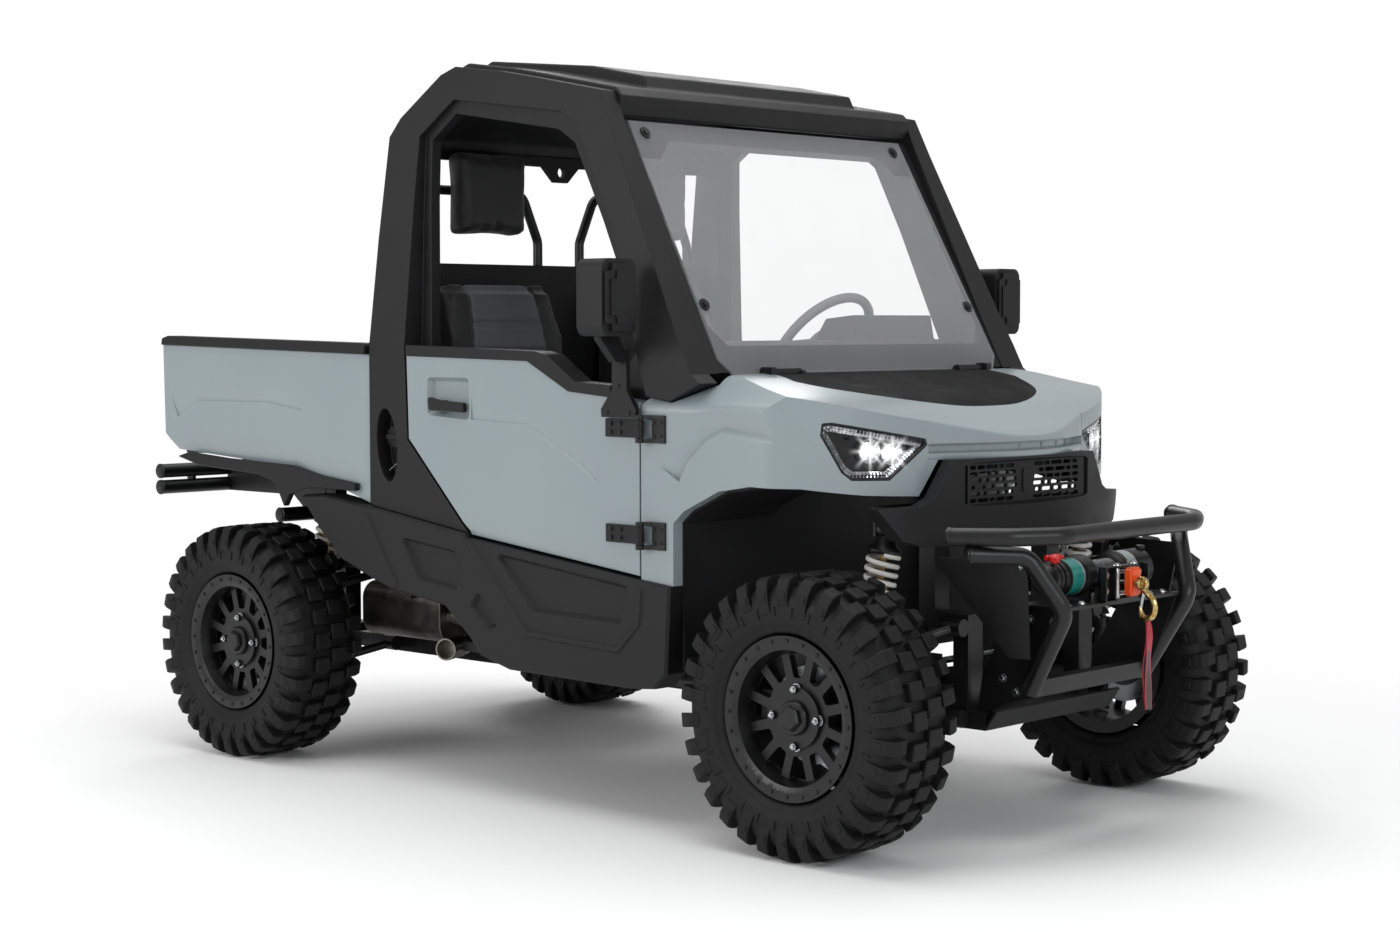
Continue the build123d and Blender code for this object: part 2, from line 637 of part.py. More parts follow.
# Wind screen: a clear sheet over a dark surround, in a plane that leans back.
WIND_FOOT = (460, 1327)              # a point of the plane: station and height
WIND_SLOPE = 61.5                    # degrees from the level
WIND = Plane(
    origin=at(0, *WIND_FOOT), x_dir=(1, 0, 0),
    z_dir=(0, -sin(radians(WIND_SLOPE)), cos(radians(WIND_SLOPE))),
)
SURROUND_T = 28
with BuildPart() as windshield:
    with BuildSketch(WIND.offset(-SKIN)):
        with BuildLine():
            Polyline(
                (-561, 540), (561, 540), (583, -161), (544, -208), (-544, -208), (-583, -161),
                close=True,
            )
        make_face()
    extrude(amount=SKIN)
finish(windshield, "windshield")

REAR_HEADER = (1567, 16)             # station of the rear header's back, and its thickness
with BuildPart() as cab_frame:
    with BuildSketch(WIND.offset(-SKIN - SURROUND_T)):
        with BuildLine():
            Polyline((-CAB_IN, 545), (CAB_IN, 545), (CAB_IN, -195), (-CAB_IN, -195), close=True)
        make_face()
        with BuildLine():
            Polyline(
                (-430, 489), (430, 489), (490, 430), (560, 430), (564, -60), (520, -119),
                (-520, -119), (-564, -60), (-560, 430), (-490, 430), close=True,
            )
        make_face(mode=Mode.SUBTRACT)
    extrude(amount=SURROUND_T)
    # rear header with its middle lug
    with BuildSketch(FRONT.offset(-REAR_HEADER[0])):
        with BuildLine():
            Polyline(
                (-CAB_IN, 1770), (-CAB_IN, 1746), (-72, 1742), (-26, 1698), (26, 1698),
                (72, 1742), (CAB_IN, 1746), (CAB_IN, 1770), close=True,
            )
        make_face()
        with Locations((0, 1728)):
            Circle(15, mode=Mode.SUBTRACT)
    extrude(amount=REAR_HEADER[1])
finish(cab_frame, "cab_frame")

SEAT_BASE_Z = 740
PEDALS = (-130, -20)                 # from the steering wheel's centre
with BuildPart() as cab_tub:
    with BuildSketch(SIDE.offset(-CAB_IN)):
        with BuildLine():
            Polyline(
                (445, FLOOR_Z - FLOOR_T), (TUB_BACK, FLOOR_Z - FLOOR_T), (TUB_BACK, 1450),
                (TUB_BACK - 30, 1450), (TUB_BACK - 30, SEAT_BASE_Z), (1080, SEAT_BASE_Z),
                (1080, FLOOR_Z), (560, FLOOR_Z), (475, 520), (475, 1120), (445, 1120),
                close=True,
            )
        make_face()
        with Locations(((1110 + TUB_BACK - 30) / 2, (FLOOR_Z + SEAT_BASE_Z - 30) / 2)):
            Rectangle(TUB_BACK - 30 - 1110, SEAT_BASE_Z - 30 - FLOOR_Z, mode=Mode.SUBTRACT)
    extrude(amount=2 * CAB_IN)
    with BuildSketch(TOP.offset(FLOOR_Z - FLOOR_T)):
        with Locations((-CAB_IN + 125, TUB_BACK - 125)):
            Rectangle(250, 250)
    extrude(amount=130, mode=Mode.SUBTRACT)
    # brake and throttle pedals on the toe-board
    for x in PEDALS:
        with BuildSketch(SIDE.offset(STEER_WHEEL_X + x - 10)):
            with BuildLine():
                Polyline((480, 512), (500, 486), (560, 530), (550, 546), close=True)
            make_face()
        extrude(amount=20)
        with BuildSketch(SIDE.offset(STEER_WHEEL_X + x - 34)):
            with BuildLine():
                Polyline((566, 490), (576, 494), (552, 582), (542, 578), close=True)
            make_face()
        extrude(amount=68)
finish(cab_tub, "cab_tub")

HOOP_R = 14
LOOP_S = TUB_BACK - 15
with BuildPart() as hoops:
    for side in (-1, 1):
        points = [
            at(side * 86, LOOP_S, 1450), at(side * 86, LOOP_S, 1520), at(side * 150, LOOP_S, 1660),
            at(side * 500, LOOP_S, 1660), at(side * 560, LOOP_S, 1520), at(side * 560, LOOP_S, 1450),
        ]
        with BuildLine() as hoop_path:
            FilletPolyline(*points, radius=50)
        with BuildSketch(Plane(origin=points[0], z_dir=(0, 0, 1))):
            Circle(HOOP_R)
        sweep(path=hoop_path.line)
finish(hoops, "headrest_hoops")

STEER_TILT = 38                      # column above the level, degrees
STEER_CENTRE = at(STEER_WHEEL_X, 800, 1215)
COLUMN = Vector(0, cos(radians(STEER_TILT)), sin(radians(STEER_TILT)))
COLUMN_END = 90                      # centre of the steering wheel to the column's end

# Dashboard with a hood over the instruments and the steering column.
with BuildPart() as dash:
    with BuildSketch(SIDE.offset(-CAB_IN)):
        with BuildLine():
            Polyline(
                (476, 860), (476, 1205), (520, 1232), (640, 1220), (700, 1150), (690, 960),
                (600, 860), close=True,
            )
        make_face()
    extrude(amount=2 * CAB_IN)
    with BuildSketch(SIDE.offset(STEER_WHEEL_X - 175)):
        with BuildLine():
            Polyline((520, 1200), (540, 1300), (640, 1290), (700, 1200), close=True)
        make_face()
    extrude(amount=350)
    column_end = STEER_CENTRE - COLUMN * COLUMN_END
    with BuildSketch(Plane(origin=column_end, x_dir=(1, 0, 0), z_dir=COLUMN)):
        Circle(32)
    extrude(amount=-80)
finish(dash, "dash")

# ---------------------------------------------------------------- seats
SEAT_HALF = 255
with BuildPart() as seat_cushions:
    for side in (-1, 1):
        with BuildSketch(SIDE.offset(side * SEAT_X - SEAT_HALF)) as profile:
            with BuildLine():
                Polyline(
                    (1085, SEAT_BASE_Z), (1075, 800), (1110, 862), (1396, 840),
                    (1396, SEAT_BASE_Z), close=True,
                )
            make_face()
            fillet(profile.vertices().group_by(Axis.Y)[-1] + profile.vertices().group_by(Axis.Y)[-2], 24)
        extrude(amount=2 * SEAT_HALF)
finish(seat_cushions, "seat_cushions")
with BuildPart() as seat_backs:
    for side in (-1, 1):
        with BuildSketch(SIDE.offset(side * SEAT_X - SEAT_HALF)) as profile:
            with BuildLine():
                Polyline(
                    (1405, 852), (1472, SEAT_BASE_Z + 4), (TUB_BACK - 30 - FIT, SEAT_BASE_Z + 4),
                    (TUB_BACK - 30 - FIT, 1396), (1500, 1412), (1450, 1400), (1412, 1240),
                    (1395, 1000),
                    close=True,
                )
            make_face()
        extrude(amount=2 * SEAT_HALF)
finish(seat_backs, "seat_backs")
with BuildPart() as headrests:
    for side in (-1, 1):
        with BuildSketch(FRONT.offset(-(LOOP_S - HOOP_R - FIT))):
            with BuildLine():
                Polyline(
                    (side * 230, 1550), (side * 205, 1600), (side * 235, 1770),
                    (side * 462, 1770), (side * 476, 1600), (side * 440, 1525),
                    (side * 250, 1525), close=True,
                )
            make_face()
        extrude(amount=90)
finish(headrests, "headrests")

# Steering wheel on its shaft.
RIM_PITCH_R = 172
RIM_TUBE = 14
with BuildPart() as steering_wheel:
    with BuildSketch(Plane(origin=STEER_CENTRE, x_dir=(1, 0, 0), z_dir=COLUMN)):
        Circle(RIM_PITCH_R + RIM_TUBE)
        Circle(RIM_PITCH_R - RIM_TUBE, mode=Mode.SUBTRACT)
        Circle(58)
        for spoke in (0, 180, 270):
            with Locations(Rotation(0, 0, spoke)):
                with Locations((RIM_PITCH_R / 2, 0)):
                    Rectangle(RIM_PITCH_R, 34)
    extrude(amount=RIM_TUBE, both=True)
    with BuildSketch(Plane(origin=STEER_CENTRE, x_dir=(1, 0, 0), z_dir=COLUMN)):
        Circle(22)
    extrude(amount=-COLUMN_END + FIT)
finish(steering_wheel, "steering_wheel")

# ---------------------------------------------------------------- lower body
SILL_X = 715                         # outer face of the skirts
SILL_OUTLINE = [
    (428, 622), (540, 632), (1188, 701), (1194, 712), (1590, 766), (1640, 770), (1790, 790),
    (1890, 786), (1905, 778), (1820, 690), (1724, 609), (1597, 566), (1504, 538), (1278, 510),
    (1177, 430), (1135, 386), (1021, 358), (569, 352), (481, 360), (440, 400),
]
SILL_POCKETS = [
    [(1462, 690), (1233, 664), (1202, 623), (1225, 555), (1383, 574)],
    [(1081, 670), (571, 614), (599, 515), (926, 521)],
    [(1140, 561), (1056, 472), (1101, 459), (1172, 517)],
]
SILL_RIDGES = [
    [(1612, 745), (1472, 545)],
    [(1176, 690), (949, 463), (609, 449), (537, 521), (529, 612)],
]
POCKET_DEEP = 12
RIDGE_H = 5
with BuildPart() as sill:
    with BuildSketch(SIDE.offset(-SILL_X)):
        with BuildLine():
            Polyline(*SILL_OUTLINE, close=True)
        make_face()
    extrude(amount=SILL_X - CAB_IN - 40)
    chamfer(sill.faces().sort_by(Axis.X)[0].edges(), 7)
    for pocket in SILL_POCKETS:
        with BuildSketch(SIDE.offset(-SILL_X)) as hollow:
            with BuildLine():
                Polyline(*pocket, close=True)
            make_face()
            fillet(hollow.vertices(), 12)
        extrude(amount=POCKET_DEEP, taper=40, mode=Mode.SUBTRACT)
    for ridge in SILL_RIDGES:
        with BuildSketch(SIDE.offset(-SILL_X + 1)):
            with BuildLine() as ridge_line:
                Polyline(*ridge)
            trace(line_width=22)
        extrude(amount=-RIDGE_H - 1, taper=40)
sills = both_sides(sill)
finish(sills, "sills")

# Nose, wings and lamps are cut from one shell.  Its right half is drawn here: plan, hood line
# and cross-section crossed, less the same form drawn in by the wall.
NOSE_PLAN = [(-BODY_X, 150), (-672, 92), (-600, 32), (-334, -84), (-160, -146), (0, -168)]
HOOD_LINE = [(330, 1150), (180, 1120), (-28, 1066), (-110, 1024), (-175, 982)]
HOOD_SECTION = [(-BODY_X, 1052), (-678, 1090), (-615, 1136), (-470, 1150)]
HOOD_MIDDLE = 1158
BLANK_REAR = 545
BLANK_LOW = 400
ARCH = [
    (700, 646), (540, 632), (428, 622), (428, 780), (391, 812), (275, 866), (173, 882), (63, 878),
    (-25, 860), (-102, 850), (-260, 850), (-260, 400), (700, 400),
]
DOOR_FRONT = 545                     # front edge of the door


def front_blank(by):
    """Right half of the front end's outer form, or the same form drawn in by a wall."""
    plan = [(x * (BODY_X - by) / BODY_X, s + by) for x, s in NOSE_PLAN]
    hood = [(s + by, z - by) for s, z in HOOD_LINE]
    section = [(x * (BODY_X - by) / BODY_X, z - by) for x, z in HOOD_SECTION]
    with BuildPart() as blank:
        with BuildSketch(TOP.offset(BLANK_LOW)):
            with BuildLine():
                Spline(*plan, tangents=((0, -1), (1, 0)))
                Polyline(plan[-1], (0, BLANK_REAR + by), (plan[0][0], BLANK_REAR + by), plan[0])
            make_face()
        extrude(amount=800)
        with BuildSketch(SIDE.offset(-BODY_X - 100)):
            with BuildLine():
                Spline(*hood, tangents=((-1, -0.1), (-0.55, -0.85)))
                Polyline(
                    hood[-1], (hood[-1][0] - 5, BLANK_LOW), (BLANK_REAR + by, BLANK_LOW),
                    (BLANK_REAR + by, hood[0][1]), hood[0],
                )
            make_face()
        extrude(amount=BODY_X + 200, mode=Mode.INTERSECT)
        with BuildSketch(FRONT.offset(-1000)):
            with BuildLine():
                Spline(*section, tangents=((0, 1), (1, 0.04)))
                Polyline(
                    section[-1], (100, HOOD_MIDDLE - by), (100, BLANK_LOW), (section[0][0], BLANK_LOW),
                    section[0],
                )
            make_face()
        extrude(amount=1300, mode=Mode.INTERSECT)
    return blank


# The flare over the wheel stands out below a crease.
flare = crease(
    [(408, 884), (381, 932), (318, 988), (266, 1009), (134, 990), (70, 958)], -BODY_X, 15, 12, 62,
)
outer_blank = front_blank(0)
inner_blank = front_blank(PANEL)
with BuildPart() as front_shell:
    add(outer_blank.part)
    add(inner_blank.part, mode=Mode.SUBTRACT)
    # wheel arch, the cab behind the cowl, the door's shut line
    with BuildSketch(SIDE.offset(-800)):
        with BuildLine():
            Polyline(*ARCH, close=True)
        make_face()
    extrude(amount=900, mode=Mode.SUBTRACT)
    with BuildSketch(SIDE.offset(-CAB_IN - 34)):
        with BuildLine():
            Polyline((358, 1200), (334, 1128), (334, 400), (700, 400), (700, 1200), close=True)
        make_face()
    extrude(amount=CAB_IN + 100, mode=Mode.SUBTRACT)
    with BuildSketch(SIDE.offset(-800)):
        with BuildLine():
            Polyline(
                (DOOR_FRONT - DOOR_GAP, 400), (DOOR_FRONT - DOOR_GAP, 1075), (524, 1090),
                (442, 1079), (332, 1124), (350, 1200), (700, 1200), (700, 400), close=True,
            )
        make_face()
    extrude(amount=900, mode=Mode.SUBTRACT)
    add(flare.part, mode=Mode.SUBTRACT)

SEAM = Plane(origin=at(-467, 223, 1143), z_dir=(0.425, -0.770, 0.476))    # nose to wing
INSERT_FRONT = [(-468, 229), (-330, 60), (-130, -22), (0, -30)]
INSERT_REAR = [(0, 340), (-440, 340)]
LAMP_FACE = Plane(                     # through the two ends of the lamp, facing forward and out
    origin=at(-467, -26, 960), x_dir=(266, -116, 0), z_dir=(-116, -266, 0),
)
LAMP_OUTLINE = [
    (-144, 76), (-120, 78), (140, 34), (146, 18), (34, -66), (-70, -64), (-96, -44), (-148, 46),
]
STEP_Z = (941, 979)                  # groove across the nose, between hood lip and beak
STEP_DEEP = 13
STEP_HALF = 330
FASCIA_EDGE = [(-300, 942), (-361, 850), (-400, 832)]                     # nose to fascia
FASCIA_FOOT = [(-516, 828), (-456, 750), (-395, 734), (0, 719)]
with BuildPart() as lamp_prism:
    with BuildSketch(LAMP_FACE.offset(-60)) as lamp_sketch:
        with BuildLine():
            Polyline(*LAMP_OUTLINE, close=True)
        make_face()
        fillet(lamp_sketch.vertices(), 5)
    extrude(amount=120)
with BuildPart() as insert_prism:
    with BuildSketch(TOP.offset(1000)):
        with BuildLine():
            Spline(*INSERT_FRONT, tangents=((0.5, -0.9), (1, 0)))
            Polyline(INSERT_FRONT[-1], *INSERT_REAR, INSERT_FRONT[0])
        make_face()
    extrude(amount=300)
with BuildPart() as step_band:
    with BuildSketch(FRONT.offset(-40)):
        with Locations((0, (STEP_Z[0] + STEP_Z[1]) / 2)):
            SlotOverall(2 * STEP_HALF, STEP_Z[1] - STEP_Z[0])
    extrude(amount=260)
    add(front_blank(STEP_DEEP).part, mode=Mode.SUBTRACT)
    split(bisect_by=Plane.YZ, keep=Keep.BOTTOM)

with BuildPart() as insert_half:
    add(front_shell.part)
    add(insert_prism.part, mode=Mode.INTERSECT)
hood_insert = both_sides(insert_half)
finish(hood_insert, "hood_insert")

with BuildPart() as headlamp:
    add(front_shell.part)
    add(lamp_prism.part, mode=Mode.INTERSECT)
headlamps = both_sides(headlamp)
finish(headlamps, "headlamps")

with BuildPart() as painted:
    add(front_shell.part)
    add(insert_prism.part, mode=Mode.SUBTRACT)
    add(lamp_prism.part, mode=Mode.SUBTRACT)
    add(step_band.part, mode=Mode.SUBTRACT)
    with BuildSketch(FRONT.offset(0)):
        with BuildLine():
            Polyline((0, 942), *FASCIA_EDGE, (-640, 832), (-640, 400), (0, 400), close=True)
        make_face()
    extrude(amount=300, mode=Mode.SUBTRACT)
with BuildPart() as nose_half:
    add(painted.part)
    split(bisect_by=SEAM, keep=Keep.TOP)
with BuildPart() as wing:
    add(painted.part)
    split(bisect_by=SEAM, keep=Keep.BOTTOM)
nose = both_sides(nose_half)
finish(nose, "nose")
wings = both_sides(wing)
finish(wings, "wings")

# Fascia: a curved shield below the nose, open for the grille.
FASCIA_PLAN = [(-560, -40), (-516, -74), (-300, -143), (-150, -164), (0, -171), (150, -164),
               (300, -143), (516, -74), (560, -40)]
GRILLE = ((-252, 828), (252, 930))
with BuildPart() as fascia:
    with BuildSketch(FRONT.offset(-20)):
        with BuildLine():
            Polyline((0, 942), *FASCIA_EDGE, *FASCIA_FOOT, close=True)
        make_face()
        mirror(about=Plane.YZ)
        mid_grille = ((GRILLE[0][0] + GRILLE[1][0]) / 2, (GRILLE[0][1] + GRILLE[1][1]) / 2)
        with Locations(mid_grille):
            Rectangle(GRILLE[1][0] - GRILLE[0][0], GRILLE[1][1] - GRILLE[0][1], mode=Mode.SUBTRACT)
    extrude(amount=300)
    fascia_back = [(x * (1 - PANEL / 850), station + PANEL) for x, station in FASCIA_PLAN]
    with BuildSketch(TOP.offset(600)):
        with BuildLine():
            Spline(*FASCIA_PLAN)
            Polyline(FASCIA_PLAN[-1], fascia_back[-1])
            Spline(*reversed(fascia_back))
            Polyline(fascia_back[0], FASCIA_PLAN[0])
        make_face()
    extrude(amount=500, mode=Mode.INTERSECT)
    # the opening funnels in to the grille
    with BuildSketch(FRONT.offset(180)):
        with Locations(mid_grille):
            RectangleRounded(
                GRILLE[1][0] - GRILLE[0][0] + 44, GRILLE[1][1] - GRILLE[0][1] + 16, 12,
            )
    extrude(amount=-50, taper=14, mode=Mode.SUBTRACT)
finish(fascia, "fascia")

GRILLE_T = 8
SLOT_H = 10
SLOT_PITCH = 16.4
SLOT_RUNS = [                        # lengths of the slots in each row, from the right-hand end
    (26, 44, 20, 36, 30, 48, 22, 40, 28, 46, 24, 38),
    (40, 22, 48, 28, 20, 42, 34, 24, 46, 30, 38, 22),
    (20, 38, 30, 46, 40, 24, 28, 44, 22, 36, 48, 26),
    (46, 26, 34, 22, 44, 38, 20, 48, 30, 24, 40, 30),
    (30, 48, 24, 40, 26, 36, 46, 22, 38, 44, 20, 28),
    (24, 32, 46, 20, 38, 28, 42, 36, 26, 48, 34, 22),
]
BADGE = (44, 60)
with BuildPart() as grille:
    with BuildSketch(FRONT.offset(146)):
        with Locations(mid_grille):
            Rectangle(GRILLE[1][0] - GRILLE[0][0], GRILLE[1][1] - GRILLE[0][1])
        for row, lengths in enumerate(SLOT_RUNS):
            reach = GRILLE[0][0] + 10
            for slot_length in lengths:
                middle = reach + slot_length / 2
                if abs(middle) > (BADGE[0] + slot_length) / 2 + 3:
                    with Locations((middle, GRILLE[0][1] + SLOT_H + row * SLOT_PITCH)):
                        SlotOverall(slot_length, SLOT_H, mode=Mode.SUBTRACT)
                reach += slot_length + 6
    extrude(amount=-GRILLE_T)
    # bare shield in the middle
    with BuildSketch(FRONT.offset(146)):
        with Locations(mid_grille):
            RectangleRounded(*BADGE, 8)
    extrude(amount=3)
finish(grille, "grille")

# Wheel-arch liners, against the wings' edges.
LINER_T = 6
with BuildPart() as liner:
    with BuildSketch(SIDE.offset(-BODY_X + 8)):
        with BuildLine():
            Polyline(
                (428, 410), (428, 780), (391, 812), (275, 866), (173, 882), (63, 878),
                (-25, 860), (-24, 854), (64, 872), (172, 876), (273, 860), (386, 808),
                (422, 777), (422, 410), close=True,
            )
        make_face()
    extrude(amount=BODY_X - 8 - 330)
    add(inner_blank.part, mode=Mode.INTERSECT)
wheel_liners = both_sides(liner)
finish(wheel_liners, "wheel_liners")

# ---------------------------------------------------------------- bumper and winch
BAR_Z = 773
SHELF_Z = 596                        # top of the winch shelf
HOOP_TOP = 731
with BuildPart() as front_bumper:
    bar = [at(-490, -265, BAR_Z), at(-400, -392, BAR_Z), at(-290, -456, BAR_Z),
           at(290, -456, BAR_Z), at(400, -392, BAR_Z), at(490, -265, BAR_Z)]
    with BuildLine() as bar_path:
        FilletPolyline(*bar, radius=90)
    with BuildSketch(Plane(origin=bar[0], z_dir=bar[1] - bar[0])):
        Circle(TUBE_R)
    sweep(path=bar_path.line)
    for side in (-1, 1):
        hoop = [at(side * 463, -303, HOOP_TOP), at(side * 336, -384, HOOP_TOP - 8),
                at(side * 272, -452, 588), at(side * 250, -334, 385)]
        with BuildLine() as hoop_path:
            FilletPolyline(*hoop, radius=50)
        with BuildSketch(Plane(origin=hoop[0], z_dir=hoop[1] - hoop[0])):
            Circle(TUBE_R)
        sweep(path=hoop_path.line)
        # shield behind each hoop
        rear, low = at(side * 400, -153, 712), at(side * 300, -310, 470)
        edge = at(side * 336, -384, 712) - rear
        shield = Plane(origin=rear, x_dir=edge, z_dir=edge.cross(low - rear))
        with BuildSketch(shield):
            with BuildLine():
                Polyline(
                    *[shield.to_local_coords(corner)
                      for corner in (rear, rear + edge, low + edge * 0.22, low)],
                    close=True,
                )
            make_face()
        extrude(amount=SKIN / 2, both=True)
    # winch shelf, lower cross-bar and the plates that carry them on the rails
    with BuildSketch(TOP.offset(SHELF_Z - 8)):
        with Locations((0, -365)):
            Rectangle(500, 150)
    extrude(amount=8)
    with BuildSketch(TOP.offset(372)):
        with Locations((0, -328)):
            Rectangle(500, 40)
    extrude(amount=40)
    for side in (-1, 1):
        with BuildSketch(SIDE.offset(side * RAIL_X - 6)):
            with BuildLine():
                Polyline(
                    (-440, SHELF_Z - 2), (-290, SHELF_Z - 2), (-190, 420), (-175, RAIL_Z[1]),
                    (RAIL_FRONT + 6, RAIL_Z[1]), (-238, 344), (-350, 372), (-420, 540),
                    close=True,
                )
            make_face()
        extrude(amount=12)
finish(front_bumper, "front_bumper")

with BuildPart() as winch:
    with BuildSketch(SIDE.offset(-215)):
        with Locations((-350, 656)):
            Circle(46)
    extrude(amount=150)
    with BuildSketch(SIDE.offset(-66)):
        with Locations((-350, 656)):
            Circle(30)
    extrude(amount=132)
    with BuildSketch(SIDE.offset(65)):
        with Locations((-350, 656)):
            Circle(50)
    extrude(amount=150)
    for x in (-80, 60):
        with BuildSketch(SIDE.offset(x)):
            with Locations((-350, (SHELF_Z + 716) / 2)):
                Rectangle(96, 716 - SHELF_Z)
        extrude(amount=20)
finish(winch, "winch")
with BuildPart() as fairlead:
    with BuildSketch(FRONT.offset(424)):
        with Locations((0, 640)):
            Rectangle(190, 88)
            Rectangle(110, 30, mode=Mode.SUBTRACT)
    extrude(amount=24)
finish(fairlead, "fairlead")

ROPE_Z = 640
HOOK_MID = (FRONT_REACH - 30, 618)   # middle of the hook's ring, ahead of the axle, and height
DRUM = (350, 656, 30)                # ahead of the axle, height, radius
with BuildPart() as winch_hook:
    with BuildSketch(FRONT.offset(DRUM[0] + 28)):
        with Locations((0, ROPE_Z)):
            Circle(5)
    extrude(amount=HOOK_MID[0] - DRUM[0] - 28)
    with BuildSketch(SIDE.offset(-11)):
        with Locations((-HOOK_MID[0], HOOK_MID[1])):
            Circle(30)
            Circle(15, mode=Mode.SUBTRACT)
    extrude(amount=22)
    with BuildSketch(SIDE.offset(-12)):
        with BuildLine():
            Polyline(
                (-HOOK_MID[0] - 4, 600), (-HOOK_MID[0] - 14, 330), (-HOOK_MID[0] - 8, 330),
                (-HOOK_MID[0] + 4, 600), close=True,
            )
        make_face()
    extrude(amount=24)
finish(winch_hook, "winch_hook")

# ---------------------------------------------------------------- fuel tank
# Between the tub and the right-hand skirt, with an arm across behind the tub.
with BuildPart() as fuel_tank:
    with BuildSketch(TOP.offset(560)):
        with BuildLine():
            Polyline(
                (-CAB_IN - 40, 1440), (-CAB_IN, 1440), (-CAB_IN, TUB_BACK), (-210, TUB_BACK),
                (-210, 1642), (-CAB_IN - 40, 1642), close=True,
            )
        make_face()
    extrude(amount=180)
finish(fuel_tank, "fuel_tank")

# ---------------------------------------------------------------- doors
DOOR_OUTLINE = [
    (545, 640), (1186, 709), (1188, 718), (1435, 961), (1443, 1189), (955, 1179), (800, 1102),
    (645, 1089), (545, 1079),
]
CAP_OUTLINE = [
    (1443, 1189), (1444, 1219), (927, 1205), (877, 1195), (773, 1127), (645, 1120), (645, 1089),
    (800, 1102), (955, 1179),
]
HINGE_AXIS = (-724, 521)             # X and station of the right-hand door's pins
HINGE_ZS = (722, 990)                # bottom of each door knuckle
KNUCKLE_H = 46
KNUCKLE_R = 11
PIN_R = 5
RECESS_DEEP = 20

RECESS = [(1357, 1132), (1187, 1132), (1185, 1018), (1357, 1028)]       # of the door handle
door = slab(DOOR_OUTLINE, -BODY_X, -BODY_X + DOOR_T)
door_crease = crease([(1178, 1019), (964, 1010), (792, 928), (705, 872)], -BODY_X, 5, 3, 60)
door_tuck = crease([(500, 641), (1260, 747)], -BODY_X, 12, 44, 0)
with BuildPart() as door_right:
    add(door.part)
    add(door_crease.part, mode=Mode.SUBTRACT)
    add(door_tuck.part, mode=Mode.SUBTRACT)
    with BuildSketch(SIDE.offset(-BODY_X)) as recess:
        with BuildLine():
            Polyline(*RECESS, close=True)
        make_face()
        fillet(recess.vertices(), 14)
    extrude(amount=RECESS_DEEP, taper=30, mode=Mode.SUBTRACT)
finish(door_right, "door_right")
door_left = mirrored(door_right)
finish(door_left, "door_left")

with BuildPart() as door_trim_right:
    add(slab(CAP_OUTLINE, -BODY_X - 3, -BODY_X + DOOR_T + 4).part)
    # handle in its recess
    with BuildSketch(SIDE.offset(-BODY_X - 12)) as handle:
        with BuildLine():
            Polyline((1342, 1078), (1300, 1070), (1196, 1064), (1196, 1038), (1338, 1042), close=True)
        make_face()
        fillet(handle.vertices(), 6)
    extrude(amount=13)
    with BuildSketch(SIDE.offset(-BODY_X)):
        with Locations((1310, 1058)):
            Rectangle(34, 22)
    extrude(amount=RECESS_DEEP)
    # hinge leaves with their knuckles
    for low in HINGE_ZS:
        with BuildSketch(TOP.offset(low)):
            with BuildLine():
                Polyline(
                    (-BODY_X, 548), (-BODY_X, 660), (-BODY_X - 6, 660), (-BODY_X - 8, 560),
                    (HINGE_AXIS[0] - 2, HINGE_AXIS[1] + 9), (HINGE_AXIS[0] + 9, HINGE_AXIS[1] + 4),
                    close=True,
                )
            make_face()
            with Locations(HINGE_AXIS):
                Circle(KNUCKLE_R)
                Circle(PIN_R + FIT, mode=Mode.SUBTRACT)
        extrude(amount=KNUCKLE_H)
    # mirror: a plate on the door, a stalk and the head
    with BuildSketch(SIDE.offset(-BODY_X - 8)):
        with BuildLine():
            Polyline((556, 1044), (650, 1044), (650, 1076), (556, 1066), close=True)
        make_face()
    extrude(amount=8)
    with BuildSketch(SIDE.offset(-BODY_X - 22)):
        with BuildLine():
            Polyline(
                (540, 1040), (658, 1040), (660, 1060), (621, 1110), (619, 1215), (570, 1215),
                (568, 1110), (536, 1060), close=True,
            )
        make_face()
    extrude(amount=14)
    with BuildSketch(FRONT.offset(-600)):
        with BuildLine():
            Polyline(
                (-722, 1180), (-722, 1215), (-770, 1262), (-804, 1262), (-804, 1236),
                (-752, 1180), close=True,
            )
        make_face()
    extrude(amount=26)
    with BuildSketch(FRONT.offset(-592)):
        with Locations((-812, 1341)):
            RectangleRounded(120, 192, 26)
    extrude(amount=88)
finish(door_trim_right, "door_trim_right")
door_trim_left = mirrored(door_trim_right)
finish(door_trim_left, "door_trim_left")

# The body's halves of the hinges: a leaf on the wing, two eyes and the pin.
with BuildPart() as hinge_side:
    for low in HINGE_ZS:
        with BuildSketch(TOP.offset(low - 12)):
            with Locations(HINGE_AXIS):
                Circle(PIN_R)
        extrude(amount=KNUCKLE_H + 24)
        for eye in (low - 12, low + KNUCKLE_H + 1):
            with BuildSketch(TOP.offset(eye)):
                with Locations(HINGE_AXIS):
                    Circle(KNUCKLE_R)
                with BuildLine():
                    Polyline(
                        (HINGE_AXIS[0], HINGE_AXIS[1] + KNUCKLE_R - 2), (-BODY_X, 512),
                        (-BODY_X, 452), (-BODY_X - 6, 452), (-BODY_X - 8, 500),
                        (HINGE_AXIS[0], HINGE_AXIS[1] - KNUCKLE_R + 2), close=True,
                    )
                make_face()
            extrude(amount=11)
        with BuildSketch(TOP.offset(low - 12)):
            with Locations((-BODY_X - 3, 474)):
                Rectangle(6, 44)
        extrude(amount=KNUCKLE_H + 24)
door_hinges = both_sides(hinge_side)
finish(door_hinges, "door_hinges")

